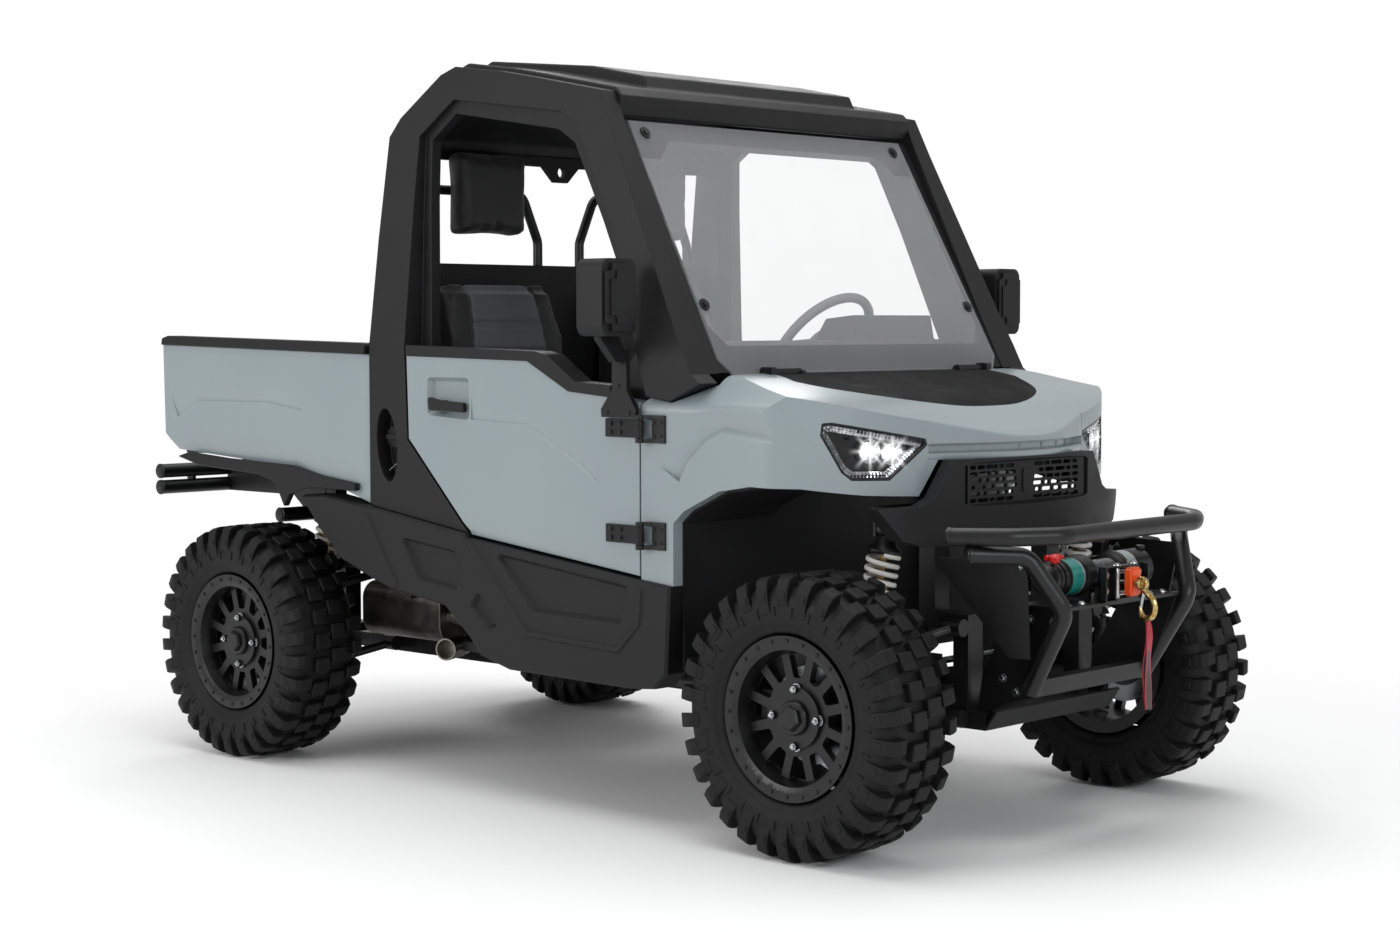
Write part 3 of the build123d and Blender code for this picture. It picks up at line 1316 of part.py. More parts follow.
# ---------------------------------------------------------------- cargo bed
BED_FRONT = CAB_BACK + BED_GAP
BED_REAR = 2595
BED_WALL = 45
BED_FLOOR_T = 21
BED_TOP = (1192, 1215)               # top of the sides, at the front and at the rear
BED_IN = BODY_X - BED_WALL
GATE_FRONT = 2550
GATE_PIN = (2585, 905)
RIBS = 9
RIB_PITCH = 140
RIB_W = 60
RIB_H = 4
with BuildPart() as bed_tub:
    with BuildSketch(SIDE.offset(-BED_IN)):
        with BuildLine():
            Polyline(
                (BED_FRONT, BED_FLOOR_Z), (GATE_FRONT - DOOR_GAP, BED_FLOOR_Z),
                (GATE_FRONT - DOOR_GAP, BED_FLOOR_Z + BED_FLOOR_T),
                (BED_FRONT + BED_WALL, BED_FLOOR_Z + BED_FLOOR_T),
                (BED_FRONT + BED_WALL, BED_TOP[0]), (BED_FRONT, BED_TOP[0]), close=True,
            )
        make_face()
    extrude(amount=2 * BED_IN)
    rib_run = GATE_FRONT - DOOR_GAP - BED_FRONT - BED_WALL
    with BuildSketch(TOP.offset(BED_FLOOR_Z + BED_FLOOR_T)):
        with Locations((0, BED_FRONT + BED_WALL + rib_run / 2)):
            with GridLocations(RIB_PITCH, 1, RIBS, 1):
                SlotOverall(rib_run - 120, RIB_W, rotation=90)
    extrude(amount=RIB_H, taper=30)
finish(bed_tub, "bed_tub")

BED_SIDE = [
    (BED_FRONT, 772), (1839, 841), (1932, 860), (2525, 896), (2588, 945), (BED_REAR, BED_TOP[1]),
    (BED_FRONT, BED_TOP[0]),
]
LAMP_Z = (1010, 1150)        # tail lamps, in the rear ends of the sides
LAMP_IN = 8                  # let into the panel
panel = slab(BED_SIDE, -BODY_X, -BED_IN)
# A raised field with a ledge above it, a tucked-in lower edge and a drawn-in front edge.
emboss = crease([(2522, 996), (2430, 1046), (2081, 1048), (1915, 1028)], -BODY_X, 5, 3, 70)
panel_tuck = crease([(1590, 832), (1837, 840), (1934, 898), (2620, 929)], -BODY_X, 14, 62, 0)
panel_front = crease([(1657, 1230), (1648, 760)], -BODY_X, 16, 50, 0)
with BuildPart() as bed_panel:
    add(panel.part)
    add(emboss.part, mode=Mode.SUBTRACT)
    add(panel_tuck.part, mode=Mode.SUBTRACT)
    add(panel_front.part, mode=Mode.SUBTRACT)
    with BuildSketch(FRONT.offset(-BED_REAR)):
        with Locations((-BODY_X + BED_WALL / 2, (LAMP_Z[0] + LAMP_Z[1]) / 2)):
            SlotOverall(LAMP_Z[1] - LAMP_Z[0], 26, rotation=90)
    extrude(amount=LAMP_IN, mode=Mode.SUBTRACT)
bed_panels = both_sides(bed_panel)
finish(bed_panels, "bed_panels")

with BuildPart() as tail_lamp:
    with BuildSketch(FRONT.offset(-BED_REAR + LAMP_IN)):
        with Locations((-BODY_X + BED_WALL / 2, (LAMP_Z[0] + LAMP_Z[1]) / 2)):
            SlotOverall(LAMP_Z[1] - LAMP_Z[0] - 1, 25, rotation=90)
    extrude(amount=-LAMP_IN - 6)
tail_lamps = both_sides(tail_lamp)
finish(tail_lamps, "tail_lamps")

RAIL_CAP = [
    (BED_FRONT, BED_TOP[0]), (BED_REAR, BED_TOP[1]), (2590, 1236), (2561, 1243),
    (BED_FRONT + 8, 1224), (BED_FRONT, 1214),
]
bed_rails = both_sides(slab(RAIL_CAP, -BODY_X - 10, -BED_IN + 6))
finish(bed_rails, "bed_rails")

GUARD = [
    (2499, 876), (2444, 890), (2251, 878), (1932, 868), (1816, 846), (1648, 828), (1648, 807),
    (1851, 807), (1949, 782), (1973, 747), (2015, 817), (2101, 837), (2390, 852),
]
bed_guards = both_sides(slab(GUARD, -SILL_X - 7, -BODY_X))
finish(bed_guards, "bed_guards")

# Hinge arms ride round the pivot tube and carry the rear bumper.
TUBE_S = WHEELBASE + REAR_REACH - TUBE_R
ARM_X = 330
ARM_T = 20
with BuildPart() as bed_frame:
    for side in (-1, 1):
        with BuildSketch(SIDE.offset(side * ARM_X - ARM_T / 2)):
            with BuildLine():
                Polyline(
                    (2236, 690), (2248, 662), (2282, 648), (2318, 664), (2420, 742),
                    (TUBE_S - 30, 742), (TUBE_S, 742), (TUBE_S, 836), (2700, 842),
                    (2560, BED_FLOOR_Z - 14), (2500, BED_FLOOR_Z), (2180, BED_FLOOR_Z),
                    close=True,
                )
            make_face()
            with Locations(BED_PIVOT):
                Circle(TUBE_R + FIT, mode=Mode.SUBTRACT)
        extrude(amount=ARM_T)
    for z in (814, 763):
        with BuildSketch(SIDE.offset(-600)):
            with Locations((TUBE_S, z)):
                Circle(TUBE_R)
        extrude(amount=1200)
    for side in (-1, 1):
        with BuildSketch(SIDE.offset(side * 480 - 6)):
            with Locations((TUBE_S, 788)):
                Rectangle(30, 50)
        extrude(amount=12)
finish(bed_frame, "bed_frame")

with BuildPart() as tailgate:
    with BuildSketch(SIDE.offset(-BED_IN + DOOR_GAP)):
        with BuildLine():
            Polyline(
                (GATE_FRONT, GATE_PIN[1] + 14), (BED_REAR - 4, GATE_PIN[1] + 14),
                (BED_REAR, GATE_PIN[1] + 40), (BED_REAR, 1215), (GATE_FRONT, 1215), close=True,
            )
        make_face()
    extrude(amount=2 * (BED_IN - DOOR_GAP))
    # pressed field and the latch handle's well
    with BuildSketch(FRONT.offset(-BED_REAR)) as gate_field:
        with Locations((0, 1030)):
            Rectangle(1040, 150)
        fillet(gate_field.vertices(), 30)
    extrude(amount=6, taper=40, mode=Mode.SUBTRACT)
    with BuildSketch(FRONT.offset(-BED_REAR)):
        with Locations((0, 1160)):
            RectangleRounded(200, 56, 14)
    extrude(amount=22, taper=20, mode=Mode.SUBTRACT)
    with BuildSketch(FRONT.offset(-BED_REAR + 16)):
        with Locations((0, 1176)):
            Rectangle(150, 26)
    extrude(amount=-12)
finish(tailgate, "tailgate")
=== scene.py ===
import json
from math import cos, pi, radians, sin

import bmesh
import bpy
from mathutils import Matrix, Vector
from mathutils.bvhtree import BVHTree


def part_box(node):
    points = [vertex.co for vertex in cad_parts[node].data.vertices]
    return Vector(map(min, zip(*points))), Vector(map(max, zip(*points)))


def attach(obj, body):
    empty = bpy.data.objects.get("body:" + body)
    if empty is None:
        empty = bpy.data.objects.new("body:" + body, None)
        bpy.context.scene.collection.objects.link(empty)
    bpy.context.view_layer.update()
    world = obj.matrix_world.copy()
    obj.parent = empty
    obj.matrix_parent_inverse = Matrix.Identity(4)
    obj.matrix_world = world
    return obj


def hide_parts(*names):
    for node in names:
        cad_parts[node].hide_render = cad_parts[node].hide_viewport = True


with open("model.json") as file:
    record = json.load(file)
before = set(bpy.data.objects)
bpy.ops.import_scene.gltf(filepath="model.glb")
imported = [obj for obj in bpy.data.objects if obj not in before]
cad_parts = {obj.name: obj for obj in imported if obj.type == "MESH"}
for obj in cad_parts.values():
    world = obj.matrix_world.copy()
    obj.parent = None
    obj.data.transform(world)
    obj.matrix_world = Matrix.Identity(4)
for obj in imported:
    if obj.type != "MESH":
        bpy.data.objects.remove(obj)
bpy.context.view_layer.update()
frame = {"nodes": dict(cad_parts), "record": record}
nodes = frame["nodes"]

# ---------------------------------------------------------------- camera
# A three-quarter view of the vehicle's front from its right, at the height of the mirrors, with a
# long lens that keeps the far wheels nearly as large as the near ones.
FRONT_AXLE = -1.1285                  # metres: the front axle's place along Y


def place(x, station, z):
    """Millimetres, with the station counted rearwards from the front axle, as a point in metres."""
    return Vector((x / 1000, FRONT_AXLE + station / 1000, z / 1000))


camera = bpy.data.objects.new("camera", bpy.data.cameras.new("camera"))
bpy.context.scene.collection.objects.link(camera)
camera.data.lens = 62.71
camera.data.sensor_width = 36
camera.data.clip_end = 100
camera.location = place(-5083.5, -3741, 1269.4)
looking = place(0, 987.7, 871.7) - camera.location
camera.rotation_mode = "QUATERNION"
camera.rotation_quaternion = (
    looking.to_track_quat("-Z", "Y") @ Matrix.Rotation(radians(-0.086), 4, "Z").to_quaternion()
)
bpy.context.scene.camera = camera

# ---------------------------------------------------------------- studio
# White sweep without a horizon and soft white walls of light: a wide lamp overhead, strips at
# both sides.


def linear(code):
    """An sRGB hex colour as linear RGBA."""
    parts = [int(code[i:i + 2], 16) / 255 for i in (1, 3, 5)]
    return [*(c / 12.92 if c <= 0.04045 else ((c + 0.055) / 1.055) ** 2.4 for c in parts), 1.0]


def add_node(tree, kind, sockets=None, links=None, **settings):
    """Adds a node with its settings, its sockets' values and the outputs that feed its sockets."""
    node = tree.nodes.new(kind)
    for name, value in settings.items():
        setattr(node, name, value)
    for name, value in (sockets or {}).items():
        node.inputs[name].default_value = value
    for name, source in (links or {}).items():
        tree.links.new(source, node.inputs[name])
    return node


def start_material(name):
    """An empty node material, and its tree."""
    material = bpy.data.materials.new(name)
    material.use_nodes = True
    material.node_tree.nodes.clear()
    return material, material.node_tree


def surface(tree, shader):
    """Ends a material's tree with its output."""
    add_node(tree, "ShaderNodeOutputMaterial", links={"Surface": shader.outputs[0]})


world = bpy.data.worlds.new("studio")
world.use_nodes = True
bpy.context.scene.world = world
world_tree = world.node_tree
world_tree.nodes.clear()
lighting = add_node(
    world_tree, "ShaderNodeBackground", {"Color": linear("#FFFFFF"), "Strength": 0.55}
)
seen = add_node(world_tree, "ShaderNodeBackground", {"Color": linear("#FFFFFF"), "Strength": 1.0})
backdrop = add_node(
    world_tree, "ShaderNodeMixShader",
    links={0: add_node(world_tree, "ShaderNodeLightPath").outputs["Is Camera Ray"],
           1: lighting.outputs[0], 2: seen.outputs[0]},
)
add_node(world_tree, "ShaderNodeOutputWorld", links={"Surface": backdrop.outputs[0]})

# The floor takes the vehicle's soft shadow and goes over to the backdrop's white further out.
matt_white, tree = start_material("matt_white_floor")
spread = add_node(tree, "ShaderNodeTexCoord").outputs["Object"]
grain = add_node(
    tree, "ShaderNodeTexNoise", {"Scale": 3.0, "Detail": 3.0}, {"Vector": spread}
)
tint = add_node(tree, "ShaderNodeValToRGB", links={"Fac": grain.outputs["Fac"]})
tint.color_ramp.elements[0].color = linear("#F6F6F6")
tint.color_ramp.elements[1].color = linear("#FAFAFA")
paper = add_node(
    tree, "ShaderNodeBsdfPrincipled", {"Roughness": 0.6}, {"Base Color": tint.outputs["Color"]},
)
glow = add_node(tree, "ShaderNodeEmission", {"Color": linear("#FFFFFF"), "Strength": 1.0})
away = add_node(tree, "ShaderNodeVectorMath", links={0: spread}, operation="LENGTH")
fade = add_node(
    tree, "ShaderNodeMapRange", {"From Min": 1.5, "From Max": 3.4},
    {"Value": away.outputs["Value"]}, interpolation_type="SMOOTHSTEP",
)
surface(tree, add_node(
    tree, "ShaderNodeMixShader",
    links={0: fade.outputs[0], 1: paper.outputs[0], 2: glow.outputs[0]},
))
floor_mesh = bpy.data.meshes.new("floor")
floor_mesh.from_pydata([(-14, -14, 0), (14, -14, 0), (14, 14, 0), (-14, 14, 0)], [], [(0, 1, 2, 3)])
floor_mesh.materials.append(matt_white)
floor = bpy.data.objects.new("floor", floor_mesh)
bpy.context.scene.collection.objects.link(floor)

for name, spot, aim, size, watts, shade in (
    ("overhead", (0.0, 0.0, 4.6), (0, 0, 0.8), (5.0, 4.2), 150, "#FFFFFF"),
    ("right_strip", (-5.0, 1.2, 2.3), (0, 0.3, 0.9), (3.4, 1.4), 90, "#FFFFFF"),
    ("front_strip", (-1.6, -5.4, 2.2), (0, -1.0, 0.8), (2.6, 1.2), 60, "#F8FBFF"),
    ("back_strip", (3.6, 3.6, 3.0), (0, 0, 1.0), (2.4, 1.6), 60, "#FFFFFF"),
):
    lamp = bpy.data.lights.new(name, "AREA")
    lamp.shape = "RECTANGLE"
    lamp.size, lamp.size_y = size
    lamp.energy = watts
    lamp.color = linear(shade)[:3]
    lit = bpy.data.objects.new(name, lamp)
    lit.location = spot
    lit.rotation_euler = (Vector(aim) - Vector(spot)).to_track_quat("-Z", "Y").to_euler()
    bpy.context.scene.collection.objects.link(lit)
bpy.context.scene.view_settings.view_transform = "Standard"

# ---------------------------------------------------------------- tyres
# Four mud tyres of black rubber, moulded in one piece.  A smooth carcass carries hooked shoulder
# lugs, long and short in turn, and two staggered rows of blocks.  One stretch of tread is drawn
# and set round the wheel.
TREAD_REPEATS = 15
CARCASS = [                          # (radius, half width) in millimetres, bead to crown
    (197.5, 84), (203, 99), (206, 103), (214, 109), (219, 109), (224, 114), (236, 118),
    (256, 121), (280, 120), (300, 113), (314, 98), (321, 74), (323.5, 40), (324, 0),
]
LUG_FOOT, LUG_HEIGHT = 262, 82       # a lug's lowest radius on the wall, and its height
TREAD_RADIUS = 335                   # where a lug's width is measured
TREAD_HALF = 124
OUT = Vector((1, 0, 0))


def add_object(name, mesh):
    """Links a mesh to the scene as an object of that name."""
    made = bpy.data.objects.new(name, mesh)
    bpy.context.scene.collection.objects.link(made)
    return made


def mesh_of(name, shape, station=None):
    """A bmesh in millimetres as a mesh in metres, faces outwards; stations become places on Y."""
    bmesh.ops.remove_doubles(shape, verts=shape.verts, dist=0.01)
    bmesh.ops.recalc_face_normals(shape, faces=shape.faces)
    bmesh.ops.scale(shape, vec=(0.001, 0.001, 0.001), verts=shape.verts)
    mesh = bpy.data.meshes.new(name)
    shape.to_mesh(mesh)
    shape.free()
    if station is not None:
        mesh.transform(Matrix.Translation((0, FRONT_AXLE + station / 1000, 0)))
    return mesh


def smooth(mesh, degrees=35):
    """Smooth shading, kept crisp at edges sharper than an angle."""
    mesh.shade_smooth()
    mesh.set_sharp_from_angle(angle=radians(degrees))
    return mesh


def banded(shape, loops):
    """Faces between loops of equal length."""
    for outer, inner in zip(loops, loops[1:]):
        for k in range(len(outer)):
            j = (k + 1) % len(outer)
            shape.faces.new((outer[k], outer[j], inner[j], inner[k]))


def turned(shape, start, axis, profile, sides=24, closed=False):
    """A form turned about an axis: (along, radius) pairs from a start, capped or closed up."""
    along = Vector(axis).normalized()
    first = along.orthogonal().normalized()
    second = along.cross(first)
    rings = []
    for reach, radius in profile:
        centre = Vector(start) + along * reach
        rings.append([
            shape.verts.new(
                centre
                + (first * cos(2 * pi * k / sides) + second * sin(2 * pi * k / sides)) * radius
            )
            for k in range(sides)
        ])
    if closed:
        banded(shape, rings + rings[:1])
    else:
        banded(shape, rings)
        shape.faces.new(rings[-1])
        shape.faces.new(rings[0][::-1])


def rounded(shape, edges, radius, segments=2, clamped=True):
    """Rounds some of a shape's edges."""
    bmesh.ops.bevel(
        shape, geom=edges, offset=radius, segments=segments, affect="EDGES",
        clamp_overlap=clamped,
    )


def finish_of(name, low, high, grain, relief, rough, drift=90, **sockets):
    """A skin whose tone and gloss drift over `drift` mm, with a grain and a relief in mm."""
    material, tree = start_material(name)
    on_piece = add_node(tree, "ShaderNodeTexCoord").outputs["Object"]
    skin = add_node(
        tree, "ShaderNodeTexNoise", {"Scale": 1000 / grain, "Detail": 2.0}, {"Vector": on_piece}
    )
    cloud = add_node(
        tree, "ShaderNodeTexNoise", {"Scale": 1000 / drift, "Detail": 4.0}, {"Vector": on_piece}
    )
    bump = add_node(
        tree, "ShaderNodeBump", {"Distance": relief / 1000}, {"Height": skin.outputs["Fac"]}
    )
    tone = add_node(tree, "ShaderNodeValToRGB", links={"Fac": cloud.outputs["Fac"]})
    for stop, at, code in zip(tone.color_ramp.elements, (0.35, 0.65), (low, high)):
        stop.position = at
        stop.color = linear(code)
    gloss = add_node(
        tree, "ShaderNodeMapRange",
        {"From Min": 0.3, "From Max": 0.7, "To Min": rough * 0.88, "To Max": rough * 1.12},
        {"Value": cloud.outputs["Fac"]},
    )
    surface(tree, add_node(
        tree, "ShaderNodeBsdfPrincipled",
        {key.replace("_", " "): value for key, value in sockets.items()},
        {"Base Color": tone.outputs["Color"], "Roughness": gloss.outputs[0],
         "Normal": bump.outputs["Normal"]},
    ))
    return material


# Vulcanised rubber: nearly black, dull, with pores of about 1 mm and a little grey bloom.
tread_rubber = finish_of(
    "vulcanised_tyre_rubber", "#0C0C0D", "#151516", 1.1, 0.12, 0.6, drift=25,
    Specular_IOR_Level=0.25,
)


def lug(shape, outline, degrees, wide, narrow, lean, bevel=2.2):
    """A tread lug: an (x, radius) outline given a width, narrower outside, set at an angle."""
    sides = []
    for sign in (-1, 1):
        ring = []
        for x, r in outline:
            depth = min(max((r - LUG_FOOT) / LUG_HEIGHT, 0), 1)
            half = (wide + (narrow - wide) * depth) / 2
            shift = lean * (1 - min(abs(x), TREAD_HALF) / TREAD_HALF)
            turn = radians(degrees) + (sign * half + shift) / TREAD_RADIUS
            ring.append(shape.verts.new((x, r * cos(turn), r * sin(turn))))
        sides.append(ring)
    count = len(outline)
    faces = [shape.faces.new(sides[0]), shape.faces.new(sides[1][::-1])]
    for i in range(count):
        j = (i + 1) % count
        faces.append(shape.faces.new((sides[0][i], sides[1][i], sides[1][j], sides[0][j])))
    edges = list(dict.fromkeys(edge for face in faces for edge in face.edges))
    rounded(shape, edges, bevel, 1)


stretch = bmesh.new()
for side in (-1, 1):
    offset = 0 if side > 0 else 6
    for place_in, inner_x, foot_r in ((0, 60, 252), (12, 78, 272)):
        outline = [
            (inner_x, 316), (inner_x + 2, 342.3), (100, 341), (116, 334), (125, 312),
            (126.5, 288), (123, foot_r), (116, foot_r - 4), (112, 286), (104, 304),
        ]
        lug(
            stretch, [(side * x, r) for x, r in outline], place_in + offset, 41, 35,
            side * 16,
        )
        # stepped pad on the lug's flank, and the bar that runs down the wall between two lugs
        pad = [(124, 306), (128.2, 300), (128.4, 286), (124.5, 280)]
        lug(stretch, [(side * x, r) for x, r in pad], place_in + offset, 24, 22, 0, 0.8)
        rib = [(116, 268), (124, 268), (123, 246), (117, 243)]
        lug(stretch, [(side * x, r) for x, r in rib], place_in + offset + 6, 7, 6, 0, 0.8)
    for place_in in (0, 12):
        turn = place_in + (3 if side > 0 else 9)
        block = [(4, 318), (4, 341.5), (8, 342.6), (49, 342.6), (53, 341.5), (53, 318)]
        lug(stretch, [(side * x, r) for x, r in block], turn, 50, 42, side * 6, 2.6)
tread_stretch = mesh_of("tread_stretch", stretch)

carcass = bmesh.new()
loop = [(w, r) for r, w in CARCASS] + [(-w, r) for r, w in CARCASS[-2::-1]]
loop += [(-80, 201), (-88, 240), (-92, 285), (-60, 308), (60, 308), (92, 285), (88, 240), (80, 201)]
turned(carcass, (0, 0, 0), OUT, loop, 96, closed=True)
tyre_carcass = smooth(mesh_of("tyre_carcass", carcass), 60)


def start_group(name, **sockets):
    """A Geometry Nodes tree, its input node, and the identifiers of its inputs' sockets."""
    tree = bpy.data.node_groups.new(name, "GeometryNodeTree")
    keys = [
        tree.interface.new_socket(
            label.replace("_", " "), in_out="INPUT", socket_type=f"NodeSocket{kind}"
        ).identifier
        for label, kind in sockets.items()
    ]
    tree.interface.new_socket("Made", in_out="OUTPUT", socket_type="NodeSocketGeometry")
    return tree, add_node(tree, "NodeGroupInput"), keys


def finish_group(tree, shape, material):
    """Ends a Geometry Nodes tree: its instances made real, in a material."""
    real = add_node(tree, "GeometryNodeRealizeInstances", links={0: shape})
    coated = add_node(
        tree, "GeometryNodeSetMaterial", {"Material": material}, {"Geometry": real.outputs[0]}
    )
    add_node(tree, "NodeGroupOutput", links={0: coated.outputs[0]})


def ring_tree(name, material):
    """Geometry Nodes: sets the incoming shape round the X axis, Count times."""
    tree, given, keys = start_group(name, Shape="Geometry", Count="Int")
    spots = add_node(
        tree, "GeometryNodeMeshLine", {"Offset": (0, 0, 0)}, {"Count": given.outputs["Count"]}
    )
    step = add_node(
        tree, "ShaderNodeMath", {0: 2 * pi}, {1: given.outputs["Count"]}, operation="DIVIDE"
    )
    turn = add_node(
        tree, "ShaderNodeMath",
        links={0: step.outputs[0], 1: add_node(tree, "GeometryNodeInputIndex").outputs[0]},
        operation="MULTIPLY",
    )
    about_x = add_node(tree, "ShaderNodeCombineXYZ", links={"X": turn.outputs[0]})
    copies = add_node(
        tree, "GeometryNodeInstanceOnPoints",
        links={"Points": spots.outputs["Mesh"], "Instance": given.outputs["Shape"],
               "Rotation": about_x.outputs[0]},
    )
    finish_group(tree, copies.outputs[0], material)
    return tree, keys[1]


def baked(piece):
    """A piece's mesh with its modifiers applied."""
    bpy.context.view_layer.update()
    return bpy.data.meshes.new_from_object(
        piece.evaluated_get(bpy.context.evaluated_depsgraph_get())
    )


def grown(mesh, tree, inputs):
    """The mesh that a Geometry Nodes tree makes of another, with its inputs by identifier."""
    carrier = add_object("carrier", mesh)
    modifier = carrier.modifiers.new("grow", "NODES")
    modifier.node_group = tree
    for key, value in inputs.items():
        modifier[key] = value
    made = baked(carrier)
    bpy.data.objects.remove(carrier)
    return made


def joined(name, meshes):
    """One mesh out of several, with their materials."""
    whole = bmesh.new()
    materials = []
    for mesh in meshes:
        before = len(whole.faces)
        whole.from_mesh(mesh)
        whole.faces.ensure_lookup_table()
        for face in whole.faces[before:]:
            own = mesh.materials[face.material_index] if mesh.materials else None
            if own not in materials:
                materials.append(own)
            face.material_index = materials.index(own)
    result = bpy.data.meshes.new(name)
    whole.to_mesh(result)
    whole.free()
    for material in materials:
        result.materials.append(material)
    return result


tyre_carcass.materials.append(tread_rubber)
tread_tree, count_key = ring_tree("tread_round_wheel", tread_rubber)
tread = grown(tread_stretch, tread_tree, {count_key: TREAD_REPEATS})
tyre_mesh = joined("mud_tyre", [tyre_carcass, tread])
HUB_CENTRES = {
    "front_right": place(-657, 0, 343), "front_left": place(657, 0, 343),
    "rear_right": place(-681.5, 2147, 343), "rear_left": place(681.5, 2147, 343),
}
for corner, centre in HUB_CENTRES.items():
    mesh = tyre_mesh.copy()
    mesh.transform(Matrix.Translation(centre))
    tyre = add_object(f"mud_tyre_{corner}", mesh)
    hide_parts(f"tyre_{corner}")
    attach(tyre, f"wheel_{corner}")

# ---------------------------------------------------------------- rims and brake discs
# Cast aluminium rims, powder coated matt black, with twelve windows, a ring of small bolts that
# looks like a bead lock, four zinc-plated wheel nuts and a plain moulded cap over the hub.
# Drilled steel discs turn behind them; their holes are drawn as black rings of painted shade.
RING_BOLTS = 24
NUT_CIRCLE = 68.5                    # millimetres, radius

# Powder coat: sprayed and baked, so a satin skin with a fine orange peel of about 1.5 mm.
powder_coat = finish_of(
    "black_powder_coat", "#0E0E0F", "#131314", 1.6, 0.03, 0.36, Specular_IOR_Level=0.4,
)
# Zinc plate: bright, slightly clouded electroplated steel.
zinc_plate = finish_of(
    "zinc_plated_steel", "#A4A6A8", "#C6C8C9", 3.0, 0.01, 0.26, drift=12, Metallic=1.0,
)
# Ground steel: the pads leave a bright face with a fine drag.
disc_steel = finish_of("ground_disc_steel", "#77787A", "#8F9092", 0.8, 0.02, 0.3, Metallic=1.0)

ring_bolt = bmesh.new()
turned(ring_bolt, (104, 186, 0), OUT, [(0, 7), (2, 7), (2.5, 6.4), (2.5, 5)], 12)
turned(ring_bolt, (105, 186, 0), OUT, [(0, 4.8), (3.8, 4.8), (4.6, 4)], 6)
bolt_tree, bolt_count = ring_tree("bolts_round_rim", powder_coat)
bolt_ring = grown(mesh_of("ring_bolt", ring_bolt), bolt_tree, {bolt_count: RING_BOLTS})
cap = bmesh.new()
turned(cap, (58, 0, 0), OUT, [(0, 42), (26, 42), (30, 39), (31, 34)], 48)
turned(cap, (88, 0, 0), OUT, [(0, 31), (9, 31), (15, 26)], 6)
cap_mesh = smooth(mesh_of("hub_cap", cap), 30)
cap_mesh.materials.append(powder_coat)
wheel_nut = bmesh.new()
turned(wheel_nut, (70, NUT_CIRCLE, 0), OUT, [(0, 14), (2, 14), (3, 13)])
turned(wheel_nut, (72, NUT_CIRCLE, 0), OUT, [(0, 10), (11.4, 10), (13, 8.4)], 6)
turned(wheel_nut, (84, NUT_CIRCLE, 0), OUT, [(0, 6), (4.5, 6), (6, 4.5)], 12)
nut_tree, nut_count = ring_tree("nuts_round_hub", zinc_plate)
nut_ring = grown(mesh_of("wheel_nut", wheel_nut), nut_tree, {nut_count: 4})
# a sector of the disc's drilling: each hole is a black ring of painted shade on the steel face,
# proud of the plain disc behind by half a millimetre
hole = bmesh.new()
for turn, radius in ((0, 76), (10, 92), (20, 108)):
    middle = Vector((13.4, radius * cos(radians(turn)), radius * sin(radians(turn))))
    turned(hole, middle, OUT, [(-0.6, 4.6), (0.2, 4.6), (0.2, 3.4), (-0.6, 3.4)], 12, closed=True)
hole_tree, hole_count = ring_tree("holes_round_disc", powder_coat)
hole_shade_rings = grown(mesh_of("disc_hole_shade_ring", hole), hole_tree, {hole_count: 12})
face = bmesh.new()
turned(face, (6.6, 0, 0), OUT, [(0, 60), (0, 118.4), (6.8, 118.4), (6.8, 60)], 72, closed=True)
disc_mesh = smooth(mesh_of("brake_disc_face", face), 30)
disc_mesh.materials.append(disc_steel)
for mesh in (bolt_ring, nut_ring):
    smooth(mesh, 30)
trim_mesh = joined("rim_trim", [bolt_ring, cap_mesh, nut_ring, disc_mesh, hole_shade_rings])
for corner, centre in HUB_CENTRES.items():
    mesh = trim_mesh.copy()
    if "right" in corner:
        mesh.transform(Matrix.Rotation(pi, 4, "Z"))
    mesh.transform(Matrix.Translation(centre))
    trim = add_object(f"rim_trim_{corner}", mesh)
    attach(trim, f"wheel_{corner}")

home = {
    node: body
    for body, members in frame["record"]["behaviour"]["bodies"].items() for node in members
}


def coat(material, *names):
    """Gives CAD nodes a material."""
    for name in names:
        held = nodes[name].data
        held.materials.clear()
        held.materials.append(material)


def softened(name, radius, material, degrees=28, segments=2):
    """A copy of a CAD node with its hard edges rounded, in that node's place and on its body."""
    shape = bmesh.new()
    shape.from_mesh(nodes[name].data)
    bmesh.ops.remove_doubles(shape, verts=shape.verts, dist=0.0001)
    bmesh.ops.dissolve_limit(
        shape, angle_limit=radians(0.5), verts=shape.verts, edges=shape.edges
    )
    mesh = bpy.data.meshes.new(f"{name}_skin")
    shape.to_mesh(mesh)
    shape.free()
    mesh.materials.clear()
    mesh.materials.append(material)
    mesh.shade_smooth()
    piece = add_object(f"{name}_skin", mesh)
    edges = piece.modifiers.new("rounded", "BEVEL")
    edges.width = radius / 1000
    edges.segments = segments
    edges.limit_method = "ANGLE"
    edges.angle_limit = radians(degrees)
    edges.harden_normals = True
    even = piece.modifiers.new("even", "WEIGHTED_NORMAL")
    even.keep_sharp = True
    done = baked(piece)
    piece.modifiers.clear()
    piece.data = done
    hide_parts(name)
    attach(piece, home[name])
    return piece


for corner in HUB_CENTRES:
    softened(f"wheel_{corner}", 1.5, powder_coat)

# ---------------------------------------------------------------- frame and arms
# Welded steel ladder frame and double arms of round tube, powder coated.  Rubber boots cover the
# ball joints, and the track rods are zinc plated.
WHEELBASE = 2147
for name, radius in (("frame", 2.5), ("front_arms", 1), ("rear_arms", 1), ("bed_frame", 2)):
    softened(name, radius, powder_coat, 40)

